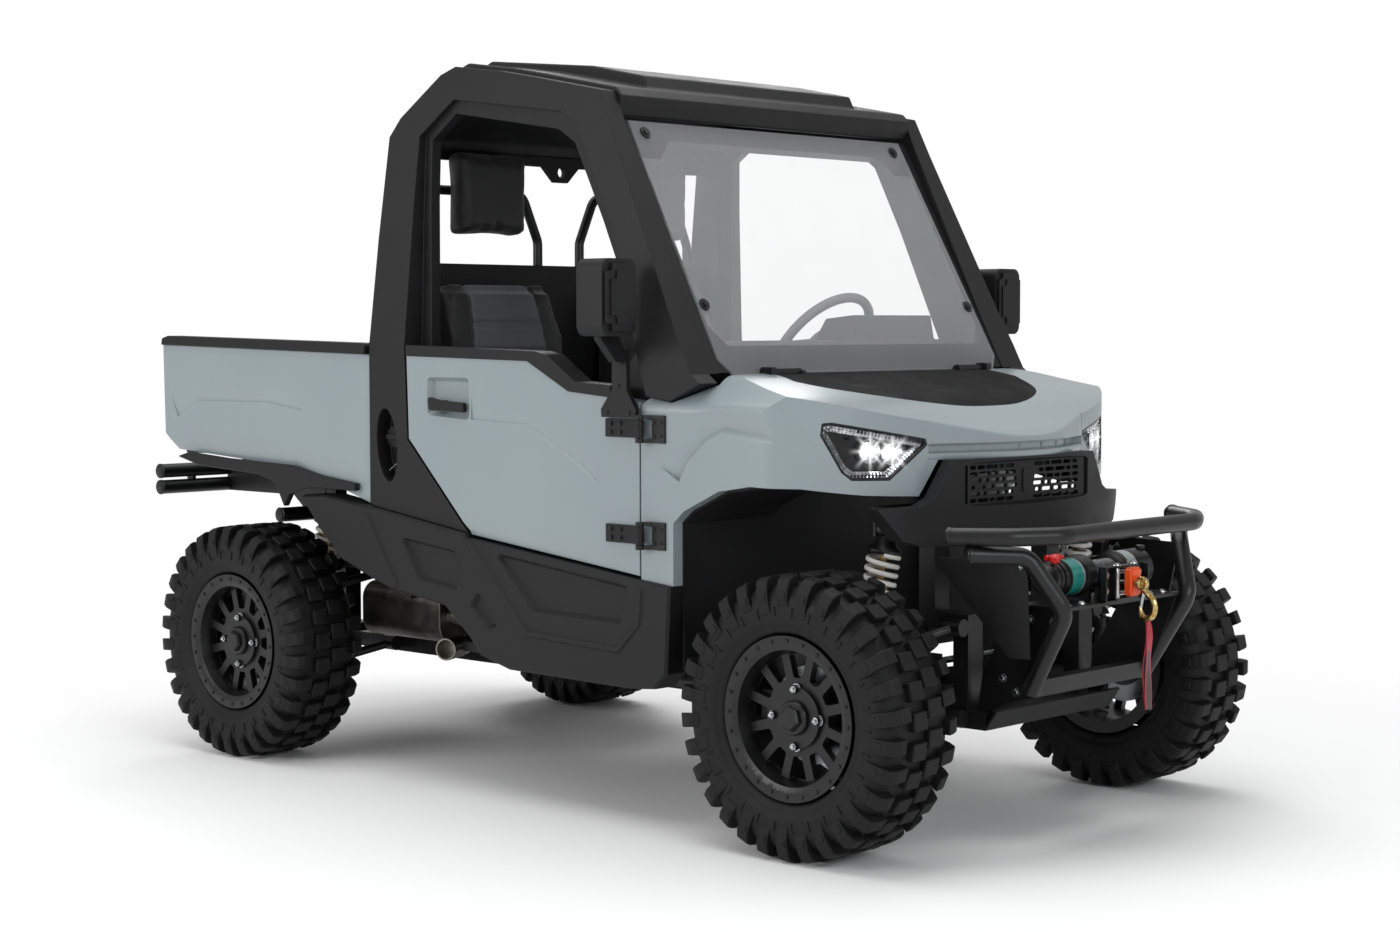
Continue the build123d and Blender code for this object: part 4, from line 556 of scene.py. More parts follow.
# Sand-cast iron: dull, with a sandy skin of about 1 mm.
cast_iron = finish_of(
    "sand_cast_iron", "#19191A", "#2A2A2C", 1.2, 0.12, 0.55, Metallic=0.4,
)
for name in ("knuckle_right", "knuckle_left", "rear_hubs"):
    softened(name, 2, cast_iron, 35)
coat(cast_iron, "driveline")
coat(zinc_plate, "track_rods")
# Chloroprene boots: soft, black and dull.
boot_rubber = finish_of("black_chloroprene_rubber", "#141415", "#202021", 2.0, 0.03, 0.66)


def screw_tree(name, material, sides=6):
    """Geometry Nodes: a screw head on a washer at every point, facing along its `facing`."""
    tree, given, keys = start_group(
        name, Places="Geometry", Head_radius="Float", Head_height="Float", Washer_radius="Float",
    )
    height = given.outputs["Head height"]
    rise = add_node(tree, "ShaderNodeMath", {1: 0.5}, {0: height}, operation="MULTIPLY")
    whole = add_node(tree, "GeometryNodeJoinGeometry")
    for size, corners, taper, depth in (
        ("Head radius", sides, 0.84, height), ("Washer radius", 20, 0.92, rise.outputs[0]),
    ):
        foot = given.outputs[size]
        top = add_node(tree, "ShaderNodeMath", {1: taper}, {0: foot}, operation="MULTIPLY")
        cone = add_node(
            tree, "GeometryNodeMeshCone", {"Vertices": corners},
            {"Radius Bottom": foot, "Radius Top": top.outputs[0], "Depth": depth},
        )
        tree.links.new(cone.outputs["Mesh"], whole.inputs[0])
    facing = add_node(
        tree, "GeometryNodeInputNamedAttribute", {"Name": "facing"}, data_type="FLOAT_VECTOR"
    )
    turn = add_node(
        tree, "FunctionNodeAlignRotationToVector", links={"Vector": facing.outputs["Attribute"]},
        axis="Z",
    )
    copies = add_node(
        tree, "GeometryNodeInstanceOnPoints",
        links={"Points": given.outputs["Places"], "Instance": whole.outputs[0],
               "Rotation": turn.outputs["Rotation"]},
    )
    finish_group(tree, copies.outputs[0], material)
    return tree, keys[1:]


def screws(name, spots, head, height, washer, maker):
    """Screws at (x, station, z, direction) spots, in mm; the sizes are the head's and washer's."""
    mesh = bpy.data.meshes.new(name)
    mesh.from_pydata([place(*spot[:3]) for spot in spots], [], [])
    facing = mesh.attributes.new("facing", "FLOAT_VECTOR", "POINT")
    for item, spot in zip(facing.data, spots):
        item.vector = Vector(spot[3]).normalized()
    tree, keys = maker
    sizes = (head / 1000, height / 1000, washer / 1000)
    made = grown(mesh, tree, dict(zip(keys, sizes)))
    return smooth(made, 30)


def fitted(name, meshes, body="chassis"):
    """Joins meshes into one piece that rides on a body."""
    piece = add_object(name, joined(name, meshes) if len(meshes) > 1 else meshes[0])
    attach(piece, body)
    return piece


def painted(mesh, material):
    """The mesh with that material and crisp smooth shading."""
    mesh.materials.clear()
    mesh.materials.append(material)
    return smooth(mesh, 32)


def dressed(name, shape, material):
    """A shape drawn in mm from the front axle, as a mesh in its place and its material."""
    return painted(mesh_of(name, shape, 0), material)


def plain_piece(name, shape, material, body="chassis"):
    """A piece of one shape and one material."""
    return fitted(name, [dressed(name, shape, material)], body)


def on_side(side, spot):
    """A spot given for the left-hand side, put on the side that is asked for."""
    return Vector((side * spot[0], spot[1], spot[2]))


def both_hands(spots):
    """Spots on the right-hand side, and the same on the left."""
    return list(spots) + [
        (-x, station, z, (-facing[0], facing[1], facing[2])) for x, station, z, facing in spots
    ]


zinc_hex = screw_tree("zinc_hexagon_screws", zinc_plate)
black_hex = screw_tree("black_hexagon_screws", powder_coat)
# Directions as the driver sees them.
LEFT, RIGHT, FORWARD, REARWARD, UP, DOWN = (
    (1, 0, 0), (-1, 0, 0), (0, -1, 0), (0, 1, 0), (0, 0, 1), (0, 0, -1),
)
shaft_boots = bmesh.new()
for axle, pin_x, inboard in ((0, 560, 44), (WHEELBASE, 580, 30)):
    for side, hand in ((-1, "right"), (1, "left")):
        boots = bmesh.new()
        for z, way in ((451, UP), (235, DOWN)):
            turned(
                boots, (side * pin_x, axle, z + (28 if way == UP else -28)), way,
                [(0, 21), (3, 22), (6, 19), (9, 20), (12, 15), (15, 15), (18, 9)], 20,
            )
        # the front ball joints turn with their knuckles
        end, body = ("front", f"knuckle_{hand}") if axle == 0 else ("rear", "chassis")
        name = f"joint_boots_{end}_{hand}"
        plain_piece(name, boots, boot_rubber, body)
        # pleated boot inboard of each outer drive joint
        turned(
            shaft_boots, (side * (pin_x - inboard), axle, 343), (-side, 0, 0),
            [(0, 24), (2, 29), (8, 29), (12, 27), (17, 30), (22, 25), (27, 28), (32, 21),
             (37, 24), (42, 18), (54, 18), (56, 15)], 28,
        )
plain_piece("shaft_boots", shaft_boots, boot_rubber)

# ---------------------------------------------------------------- coil-over shocks
# Springs of round wire in white enamel over bronze anodised dampers, between black collars.
# Each stands on its upper arm and leans in to the tower.
SHOCK_FOOT = (436, 12, 498)
SHOCK_HEAD = (410, -22, 772)
COIL_RADIUS = 37
WIRE = 6.5
TURNS = 7.5

# Baked enamel: smooth and glossy white.
spring_enamel = finish_of("white_spring_enamel", "#C9C8C2", "#D9D8D3", 2.0, 0.01, 0.3)
# Anodised aluminium, dyed bronze: satin metal.
bronze_anodised = finish_of(
    "bronze_anodised_aluminium", "#7E6A45", "#98825A", 1.5, 0.01, 0.32, Metallic=0.9,
)
spring_tree, given, spring_keys = start_group(
    "coil_spring", Nothing="Geometry", Turns="Float", Radius="Float", Height="Float",
    Wire_radius="Float",
)
helix = add_node(
    spring_tree, "GeometryNodeCurveSpiral", {"Resolution": 22},
    {"Rotations": given.outputs["Turns"], "Start Radius": given.outputs["Radius"],
     "End Radius": given.outputs["Radius"], "Height": given.outputs["Height"]},
)
section = add_node(
    spring_tree, "GeometryNodeCurvePrimitiveCircle", {"Resolution": 10},
    {"Radius": given.outputs["Wire radius"]},
)
wire = add_node(
    spring_tree, "GeometryNodeCurveToMesh", {"Fill Caps": True},
    {"Curve": helix.outputs[0], "Profile Curve": section.outputs[0]},
)
finish_group(spring_tree, wire.outputs[0], spring_enamel)

parts = []
for axle in (0, WHEELBASE):
    for side in (-1, 1):
        foot, head = (on_side(side, end) + Vector((0, axle, 0)) for end in (SHOCK_FOOT, SHOCK_HEAD))
        line = head - foot
        long = line.length
        coil = grown(
            bpy.data.meshes.new("coil"), spring_tree,
            dict(zip(
                spring_keys[1:], (TURNS, COIL_RADIUS / 1000, (long - 108) / 1000, WIRE / 1000)
            )),
        )
        stand = line.to_track_quat("Z", "Y").to_matrix().to_4x4()
        start = foot + line.normalized() * 48
        coil.transform(Matrix.Translation(place(*start)) @ stand)
        parts.append(smooth(coil, 60))
        damper = bmesh.new()
        turned(
            damper, foot, line,
            [(30, 18), (32, 24), (150, 24), (153, 22), (153, 9), (long - 40, 9)], 28,
        )
        parts.append(dressed("damper", damper, bronze_anodised))
        collars = bmesh.new()
        turned(
            collars, foot, line,
            [(20, 20), (22, 26), (30, 26), (32, 41), (38, 43), (41, 41), (41, 26)], 32,
        )
        turned(
            collars, foot, line,
            [(long - 60, 26), (long - 60, 40), (long - 56, 42), (long - 50, 42), (long - 34, 26),
             (long - 26, 24), (long - 16, 18)], 32,
        )
        for end in (foot, head):
            turned(
                collars, end + Vector((0, -20, 0)), REARWARD,
                [(0, 20), (2, 22), (38, 22), (40, 20)], 28,
            )
        parts.append(dressed("collars", collars, powder_coat))
shocks = fitted("coil_over_shocks", parts)
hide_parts("shocks")

# ---------------------------------------------------------------- engine, exhaust and tank
# The power unit is one cast block under the bed.  A stainless silencer hangs beside it, its tail
# pipe turned out ahead of the rear wheel, and a moulded tank lies behind the tub.
softened("engine", 8, cast_iron, 40, 3)
fins = bmesh.new()
low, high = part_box("engine")
low, high = low * 1000, high * 1000
station_low = low.y - FRONT_AXLE * 1000
for k in range(9):
    turned(
        fins, (low.x + 40 + k * (high.x - low.x - 80) / 8, station_low + 40, high.z - 2), REARWARD,
        [(0, 5), (high.y - low.y - 80, 5)], 8,
    )
plain_piece("engine_ribs", fins, cast_iron)
# Brushed stainless steel, a little straw-coloured from heat.
stainless = finish_of(
    "heat_tinted_stainless_steel", "#6F6C67", "#8C8880", 2.0, 0.02, 0.34, drift=60, Metallic=1.0,
)
softened("exhaust", 4, stainless, 50, 3)
bands = bmesh.new()
for reach in (1625, 1900):
    turned(bands, (-400, reach, 430), REARWARD, [(0, 4), (14, 4)], 12)
turned(bands, (-545, 1387, 375), (-1, -0.25, 0), [(0, 21), (0, 25), (14, 25), (14, 21)], 28)
plain_piece("exhaust_clamp", bands, zinc_plate)
# Blow-moulded polyethylene: milky grey, waxy.
tank_skin = finish_of("blow_moulded_polyethylene", "#8E8E8B", "#9D9D9A", 4.0, 0.06, 0.5)
softened("fuel_tank", 14, tank_skin, 40, 4)

# ---------------------------------------------------------------- front bumper
# Bent steel tube, powder coated, with domed caps in the ends of its bar and hoops.  It is bolted
# to two plates on the rails, over a pressed skid plate.
softened("front_bumper", 1.5, powder_coat, 40)
caps = bmesh.new()
for side in (-1, 1):
    for end, inner in (((490, -265, 773), (400, -392, 773)), ((463, -303, 731), (336, -384, 723))):
        tip = on_side(side, end)
        back = on_side(side, inner) - tip
        turned(
            caps, tip, back,
            [(-5, 12), (-5, 17.5), (-4, 19), (-1, 19.5), (-1, 22.5), (0, 23.4), (7, 23.4), (8, 22)],
            36,
        )
plain_piece("bumper_end_caps", caps, powder_coat)
bumper_bolts = screws("bumper_bolts", both_hands([
    (-246, -330, 560, RIGHT), (-246, -400, 560, RIGHT), (-246, -250, 410, RIGHT),
    (-246, -290, 380, RIGHT), (-210, -412, 597, UP), (-150, -412, 597, UP),
    (-120, -300, 597, UP), (-341, -372, 700, FORWARD),
]), 8, 7, 12, zinc_hex)
fitted("bumper_bolts", [bumper_bolts])
# Pressed polypropylene skid plate: matt black, with a mould texture of about 0.8 mm.
moulded_black = finish_of(
    "textured_black_polypropylene", "#131314", "#18181A", 0.8, 0.02, 0.52,
    Specular_IOR_Level=0.28,
)
coat(moulded_black, "skid_plate")

# ---------------------------------------------------------------- winch
# Electric winch on its shelf: a motor with a plain coloured band and a red terminal boot, a drum
# with rope between two feet, and a gear housing with its clutch lever.
WINCH_S = -350
WINCH_Z = 656
# Printed film round the motor: plain teal, glossy, without lettering.
teal_film = finish_of("teal_vinyl_film", "#1D6F66", "#277C73", 6.0, 0.005, 0.28, drift=30)
# Silver hammered paint on the gear housing's ring.
silver_paint = finish_of(
    "silver_hammered_paint", "#8E9193", "#B4B7B9", 2.5, 0.05, 0.35, drift=6, Metallic=0.6,
)
# Dipped vinyl boots over the terminals: bright red, smooth.
red_vinyl = finish_of("dipped_red_vinyl", "#B3110F", "#C81916", 4.0, 0.02, 0.3)
# Galvanised wire rope: bright grey, its strands run round the drum.
wire_rope = finish_of(
    "galvanised_wire_rope", "#3A3B3C", "#7D7F80", 3.0, 0.3, 0.4, drift=4, Metallic=0.8,
)
mid = (0, WINCH_S, WINCH_Z)


def block(shape, middle, size):
    """Adds a block to a shape, and returns its vertices."""
    corners = bmesh.ops.create_cube(shape, size=1)["verts"]
    bmesh.ops.scale(shape, vec=size, verts=corners)
    bmesh.ops.translate(shape, vec=middle, verts=corners)
    return corners


def winch_ring(material, profile, sides=48):
    """One turned part of the winch: (x, radius) pairs along its axis."""
    shape = bmesh.new()
    turned(shape, mid, LEFT, profile, sides)
    return dressed("winch_ring", shape, material)


rings = [
    winch_ring(powder_coat, [(-215, 30), (-212, 38), (-200, 40), (-199, 43), (-190, 43), (-189, 40),
                             (-184, 40), (-183, 44), (-172, 44), (-171, 42), (-164, 42), (-163, 45),
                             (-156, 45), (-156, 40)]),
    winch_ring(teal_film, [(-158, 40), (-158, 45.5), (-112, 45.5), (-112, 40)]),
    winch_ring(silver_paint, [(-113, 40), (-113, 46), (-106, 46), (-106, 40)]),
    winch_ring(powder_coat, [(-107, 40), (-107, 45), (-98, 45), (-96, 52), (-64, 52), (-62, 48),
                             (-62, 30)]),
    winch_ring(powder_coat, [(62, 30), (62, 48), (64, 52), (78, 52), (80, 50), (84, 50), (84, 40)]),
    winch_ring(silver_paint, [(83, 40), (83, 49), (124, 49), (124, 40)]),
    winch_ring(powder_coat, [(123, 40), (123, 47), (132, 50), (190, 50), (194, 47), (196, 34),
                             (215, 32), (215, 10)]),
]
ROPE_PITCH = 6.7                     # from one turn on the drum to the next
drum = [(-62, 28)]
for k in range(18):
    at = k * ROPE_PITCH
    drum += [(-60 + at, 29), (-58.2 + at, 33.4), (-56.6 + at, 34), (-55 + at, 33.4)]
rings.append(winch_ring(wire_rope, drum + [(62, 28)], 40))
body = bmesh.new()
for x in (-88, 74):
    block(body, (x, WINCH_S, 608.6), (14, 92, 26))
turned(
    body, (190, WINCH_S - 10, 690), UP,
    [(0, 6), (14, 6), (16, 5), (16, 12), (22, 12), (24, 10)], 16,
)
for z in (-33, 33):
    turned(body, (-100, WINCH_S + 38, WINCH_Z + z), LEFT, [(0, 5), (190, 5)], 12)
rounded(body, [edge for edge in body.edges if 13 < edge.calc_length() < 93], 1.5)
rings.append(dressed("winch_feet", body, powder_coat))
boots = bmesh.new()
for x, s, z, way in ((-150, -340, 700, (-1, 0.25, 0.15)), (-176, -352, 697, (-0.8, -0.5, 0.2))):
    turned(boots, (x, s, z), way, [(-16, 9), (-14, 13), (10, 13), (14, 10), (34, 8), (36, 6)], 16)
    turned(boots, (x, s, z - 8), UP, [(-12, 9), (14, 12), (19, 12), (21, 9)], 16)
rings.append(dressed("terminal_boots", boots, red_vinyl))
rings.append(screws("winch_bolts", [
    (-88, WINCH_S - 30, 622, UP), (-88, WINCH_S + 30, 622, UP), (74, WINCH_S - 30, 622, UP),
    (-215, WINCH_S + 22, WINCH_Z + 10, RIGHT), (-215, WINCH_S - 20, WINCH_Z - 12, RIGHT),
    (-64, WINCH_S - 38, WINCH_Z + 22, FORWARD), (78, WINCH_S - 40, WINCH_Z + 22, FORWARD),
], 5.5, 5, 8, zinc_hex))
winch = fitted("rope_winch", rings)
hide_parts("winch")

# ---------------------------------------------------------------- fairlead
# Folded black plate bolted to the shelf, with two upright zinc-plated rollers and two level
# ones.  An orange rubber stop sits on the rope in front of it.
orange_rubber = finish_of("orange_rubber_stop", "#D2420C", "#E2530F", 2.0, 0.05, 0.42)
plate = bmesh.new()
for low, high in (
    ((-95, -430, 597), (-50, -425, 683)), ((50, -430, 597), (95, -425, 683)),
    ((-95, -448, 597), (-90, -425, 683)), ((90, -448, 597), (95, -425, 683)),
    ((-52, -447, 597), (52, -426, 603)), ((-52, -447, 677), (52, -426, 683)),
    ((-52, -447, 597), (-47, -426, 683)), ((47, -447, 597), (52, -426, 683)),
    ((-95, -446, 596), (-52, -428, 600)), ((-95, -446, 680), (-52, -428, 684)),
):
    low, high = Vector(low), Vector(high)
    block(plate, (low + high) / 2, high - low)
rounded(plate, plate.edges[:], 0.8, 1)
rollers = bmesh.new()
for x in (-37, 37):
    turned(
        rollers, (x, -438, 600), UP,
        [(0, 5), (3, 5), (4, 8.5), (6, 9), (74, 9), (76, 8.5), (77, 5), (84, 5)], 24,
    )
for z in (612, 668):
    turned(rollers, (-40, -434, z), LEFT, [(0, 7), (80, 7)], 20)
fairlead_parts = [
    dressed("fairlead_plate", plate, powder_coat),
    dressed("fairlead_rollers", rollers, zinc_plate),
    screws("fairlead_bolts", [
        (-72, -431, 660, FORWARD), (-72, -431, 622, FORWARD), (72, -431, 660, FORWARD),
        (72, -431, 622, FORWARD), (-37, -438, 683.5, UP), (37, -438, 683.5, UP),
    ], 7.5, 6, 11, zinc_hex),
]
fairlead = fitted("roller_fairlead", fairlead_parts)
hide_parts("fairlead")
stop = bmesh.new()
block(stop, (0, -461, 643), (46, 24, 70))
rounded(stop, stop.edges[:], 5, 3, clamped=False)
turned(stop, (0, -473, 643), FORWARD, [(0, 15), (3, 15), (5, 13)], 28)
plain_piece("rope_stop", stop, orange_rubber)

# ---------------------------------------------------------------- hook and strap
# A forged hook, zinc plated and passivated yellow, hangs from the rope's thimble.  Its spring
# latch closes on a loop of red webbing with a dark middle, which hangs from it.
HOOK_S = -502
# Yellow passivated zinc: gold with green and pink drifts.
yellow_zinc = finish_of(
    "yellow_passivated_zinc", "#A8823C", "#C9B98A", 3.0, 0.02, 0.28, drift=9, Metallic=1.0,
)


def fair_line(name, points, radii):
    """A smooth curve along its control points, in mm."""
    curve = bpy.data.curves.new(name, "CURVE")
    curve.dimensions = "3D"
    line = curve.splines.new("NURBS")
    line.points.add(len(points) - 1)
    for point, spot, radius in zip(line.points, points, radii):
        point.co = (*place(*spot), 1)
        point.radius = radius
    line.order_u = 3
    line.use_endpoint_u = True
    return curve


def mesh_along(curve):
    """The mesh that a curve makes."""
    holder = add_object(curve.name, curve)
    made = baked(holder)
    bpy.data.objects.remove(holder)
    return made


def bent_bar(name, points, radii):
    """A round bar along a smooth curve, its radius given at the control points, in mm."""
    curve = fair_line(name, points, radii)
    curve.bevel_depth = 0.001
    curve.bevel_resolution = 3
    curve.resolution_u = 6
    curve.use_fill_caps = True
    return mesh_along(curve)


bow = bent_bar("hook_bow", [
    (0, HOOK_S + 12, 632), (0, HOOK_S + 2, 618), (0, HOOK_S - 18, 604), (0, HOOK_S - 25, 582),
    (0, HOOK_S - 16, 558), (0, HOOK_S + 4, 553), (0, HOOK_S + 18, 566), (0, HOOK_S + 19, 584),
], [7.5, 8, 8, 7.5, 8, 8, 7, 3.5])
latch = bent_bar("hook_latch", [
    (0, HOOK_S + 6, 622), (0, HOOK_S + 14, 606), (0, HOOK_S + 16, 580),
], [4.5, 4.5, 3])
eye = bmesh.new()
turned(
    eye, (-8, HOOK_S + 14, 640), LEFT,
    [(0, 7), (0, 15), (3, 17), (13, 17), (16, 15), (16, 7)], 28, closed=True,
)
turned(eye, (-13, HOOK_S + 14, 640), LEFT, [(0, 6), (2, 7), (24, 7), (26, 6)], 16)
for side in (-1, 1):
    turned(eye, (side * 11, HOOK_S + 14, 640), FORWARD, [(-12, 4), (-10, 10), (2, 12), (6, 9)], 16)
rope = bmesh.new()
turned(rope, (0, -378, 640), FORWARD, [(0, 5), (-HOOK_S - 378 - 14, 5)], 16)
hook_parts = [
    painted(bow, yellow_zinc), painted(latch, zinc_plate),
    dressed("hook_eye", eye, yellow_zinc),
    dressed("rope_end", rope, wire_rope),
]
fitted("rope_hook", hook_parts)

strap_points = [
    (0, HOOK_S - 6, 548), (1, HOOK_S - 9, 528), (2, HOOK_S - 7, 490), (0, HOOK_S - 5, 440),
    (-1, HOOK_S - 7, 385), (0, HOOK_S - 8, 332),
]
strap_line = fair_line("strap_route", strap_points, [1] * len(strap_points))
route = [vertex.co.copy() for vertex in mesh_along(strap_line).vertices]

# Woven polyester webbing, 24 mm wide: red, with a dark middle and a twill of about 1.5 mm.
webbing, tree = start_material("woven_red_webbing")
on_piece = add_node(tree, "ShaderNodeTexCoord").outputs["Object"]
across = add_node(tree, "ShaderNodeSeparateXYZ", links={0: on_piece})
from_middle = add_node(
    tree, "ShaderNodeMath", links={0: across.outputs["X"]}, operation="ABSOLUTE"
)
sewn = add_node(                     # above 0.49 m the dark middle is folded inside
    tree, "ShaderNodeMapRange", {"From Min": 0.47, "From Max": 0.5, "To Max": 0.02},
    {"Value": across.outputs["Z"]},
)
outward = add_node(
    tree, "ShaderNodeMath", links={0: from_middle.outputs[0], 1: sewn.outputs[0]}, operation="ADD"
)
twill = add_node(
    tree, "ShaderNodeTexWave", {"Scale": 210.0, "Distortion": 0.4}, {"Vector": on_piece},
    bands_direction="DIAGONAL",
)
band = add_node(tree, "ShaderNodeValToRGB", links={"Fac": add_node(
    tree, "ShaderNodeMapRange", {"From Min": 0.0, "From Max": 0.012},
    {"Value": outward.outputs[0]}).outputs[0]})
band.color_ramp.interpolation = "CONSTANT"
band.color_ramp.elements[0].color = linear("#3B3230")
band.color_ramp.elements[1].position = 0.74
band.color_ramp.elements[1].color = linear("#A8142A")
woven = add_node(
    tree, "ShaderNodeBump", {"Distance": 0.0004}, {"Height": twill.outputs["Fac"]}
)
surface(tree, add_node(
    tree, "ShaderNodeBsdfPrincipled", {"Roughness": 0.7, "Sheen Weight": 0.3},
    {"Base Color": band.outputs["Color"], "Normal": woven.outputs["Normal"]},
))
ribbon = bmesh.new()
count = len(route)
for sheet, lift in ((0, 0.0), (1, 2.6)):
    rows = []
    for k, spot in enumerate(route):
        down = k / (count - 1)
        # bunched in the hook, full width below, with a slack between the two layers
        half = (7 + 5 * min(down / 0.3, 1)) / 1000
        slack = (lift + sheet * 5 * sin(pi * min(max(down - 0.3, 0) / 0.7, 1))) / 1000
        curl = 0.0016 * sin(down * 9 + sheet)
        rows.append([
            ribbon.verts.new(spot + Vector((-half, slack + curl, 0))),
            ribbon.verts.new(spot + Vector((0, slack, 0))),
            ribbon.verts.new(spot + Vector((half, slack - curl, 0))),
        ])
    for upper, lower in zip(rows, rows[1:]):
        for k in range(2):
            ribbon.faces.new((upper[k], upper[k + 1], lower[k + 1], lower[k]))
strap_mesh = bpy.data.meshes.new("webbing_strap")
ribbon.to_mesh(strap_mesh)
ribbon.free()
strap_mesh.materials.append(webbing)
strap = add_object("webbing_strap", strap_mesh)
thick = strap.modifiers.new("webbing", "SOLIDIFY")
thick.thickness = 0.0016
thick.offset = 0
done = baked(strap)
strap.modifiers.clear()
strap.data = smooth(done, 50)
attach(strap, "chassis")
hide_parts("winch_hook")

# ---------------------------------------------------------------- body panels
# Injection-moulded doors, wings, nose, bed sides and tailgate, sprayed pale blue-grey and
# lacquered.  Their edges are rounded and their feature lines stay crisp.
body_paint = finish_of(
    "lacquered_blue_grey_paint", "#848F93", "#899497", 3.0, 0.002, 0.3, drift=600,
    Coat_Weight=0.35, Coat_Roughness=0.22,
)
skins = {}
for name, radius in (
    ("door_right", 3), ("door_left", 3), ("wings", 3.5), ("bed_panels", 4), ("tailgate", 4),
):
    skins[name] = softened(name, radius, body_paint, 24, 3)
nose = skins["nose"] = softened("nose", 3.5, body_paint, 24, 3)

# Between the lamps the nose is one fair curve: a hood lip, a groove below it, and a beak in the
# same paint.  Sizes in mm; the plan is two cubic pieces from a lamp to the middle.
BEAK_HALF = 331
BEAK_REAR = -62
BEAK_LOW = 941
PLAN_FAIR = (
    ((-334, -84), (-274, -102), (-216, -128), (-160, -146)),
    ((-160, -146), (-104, -164), (-56, -168), (0, -168)),
)
cutter = bmesh.new()
block(cutter, (0, BEAK_REAR - 80, BEAK_LOW + 100), (2 * BEAK_HALF, 160, 200))
cutter_piece = add_object("cutter", mesh_of("cutter", cutter, 0))
cut = nose.modifiers.new("beak", "BOOLEAN")
cut.object, cut.operation, cut.solver = cutter_piece, "DIFFERENCE", "EXACT"
opened = baked(nose)
nose.modifiers.clear()
nose.data = opened
bpy.data.objects.remove(cutter_piece)
hood_tree = BVHTree.FromPolygons(
    [vertex.co for vertex in nodes["nose"].data.vertices],
    [face.vertices for face in nodes["nose"].data.polygons],
)
HOOD_STEP = 3
hood_heights = [
    hood_tree.ray_cast(place(2, BEAK_REAR - HOOD_STEP * k, 1300), Vector((0, 0, -1)))[0].z * 1000
    for k in range(36)
]


def hood_at(station):
    """The hood's height at a station in front of its insert, in mm."""
    at = max(0, (BEAK_REAR - station) / HOOD_STEP)
    k = min(int(at), len(hood_heights) - 2)
    return hood_heights[k] + (hood_heights[k + 1] - hood_heights[k]) * (at - k)


def plan_at(part, t):
    """A point of the fair plan, as (x, station) in mm."""
    a, b, c, d = (Vector(spot) for spot in PLAN_FAIR[part])
    return a * (1 - t) ** 3 + b * 3 * t * (1 - t) ** 2 + c * 3 * t * t * (1 - t) + d * t ** 3


BEAK_STEPS = 24                      # columns along each piece of the plan
beak = bmesh.new()
rows = []
for k in range(-2 * BEAK_STEPS, 2 * BEAK_STEPS + 1):
    part = 0 if abs(k) > BEAK_STEPS else 1
    front = plan_at(part, ((2 - part) * BEAK_STEPS - abs(k)) / BEAK_STEPS)
    x = max(front.x, -BEAK_HALF) * (1 if k < 0 else -1)
    # the groove runs out over its last 10 mm at the lamp
    groove = max(0, min(1, (BEAK_HALF + front.x) / 10))
    rim = front.y + 7
    top = hood_at(rim)
    inner = min(BEAK_REAR, front.y + 33)
    hood = [BEAK_REAR + (rim - BEAK_REAR) * n / 8 for n in range(9)]
    profile = [(station, hood_at(station)) for station in hood] + [
        (front.y + 3, top - 2.4), (front.y + 0.8, top - 5), (front.y, top - 9), (front.y, 981),
        (front.y + 1.5 * groove, 979), (front.y + 24 * groove, 977), (front.y + 24 * groove, 960),
        (front.y + 3 * groove, 957.5), (front.y + 0.6 * groove, 956), (front.y, 953.5),
        (front.y, 944), (front.y + 1.5, BEAK_LOW), (inner, BEAK_LOW), (inner, top - 30),
        (BEAK_REAR, hood_at(BEAK_REAR) - 34),
    ]
    rows.append([beak.verts.new((x, s, z)) for s, z in profile])
banded(beak, rows)
beak.faces.new(rows[0])
beak.faces.new(rows[-1][::-1])
bmesh.ops.recalc_face_normals(beak, faces=beak.faces)
beak_skin = plain_piece("beak", beak, body_paint)

# ---------------------------------------------------------------- cab shell
# Moulded black polypropylene arches, roof, skirts and fascia.  The mould is textured, so the
# skin is matt, with a grain of about 0.8 mm, and turns grey in a soft light.
for name, radius in (
    ("cab_sides", 7), ("roof", 6), ("sills", 4), ("fascia", 5),
    ("bed_rails", 4), ("bed_guards", 4), ("dash", 10),
):
    softened(name, radius, moulded_black, 20, 3)
# The hood's insert is coarser and duller than the rest, nearly black even where light grazes it.
coarse_black = finish_of(
    "coarse_black_polypropylene", "#0B0B0C", "#101011", 1.2, 0.05, 0.72, Specular_IOR_Level=0.12,
)
softened("hood_insert", 3, coarse_black, 20, 3)
coat(moulded_black, "cab_frame", "wheel_liners", "bed_tub", "cab_tub", "grille")
for name in ("door_hinges", "headrest_hoops"):
    softened(name, 1.5, powder_coat, 40)
for name in ("door_trim_right", "door_trim_left"):
    softened(name, 2.5, moulded_black, 30, 3)

# Wind screen: hard-coated clear sheet. Its light grey veil is partly the sheet's faint haze and
# partly painted reflection of the bright studio, so dark things behind it look grey.
hazy_sheet_painted_reflection = finish_of(
    "hard_coated_clear_sheet", "#DDE1E2", "#E2E6E7", 30, 0.002, 0.06, Alpha=0.16,
)
coat(hazy_sheet_painted_reflection, "windshield")

# ---------------------------------------------------------------- headlamps
# Each lamp has a clear lens over a gloss black bezel, an aluminised bowl round each of its two
# diodes, and a fluted strip along its outer and lower edges.
LAMP_MIDDLE = place(-467, -26, 960)
LAMP_IN = Vector((266, -116, 0)).normalized()
LAMP_OUT = Vector((-116, -266, 0)).normalized()
LAMP_EDGE = [                        # (across, up) from the middle of the lamp's face
    (-144, 76), (-120, 78), (140, 34), (146, 18), (34, -66), (-70, -64), (-96, -44), (-148, 46),
]
FLUTE_PITCH = 5
DIODES = ((-19, 7), (43, 2))
RAY_REACH = 62
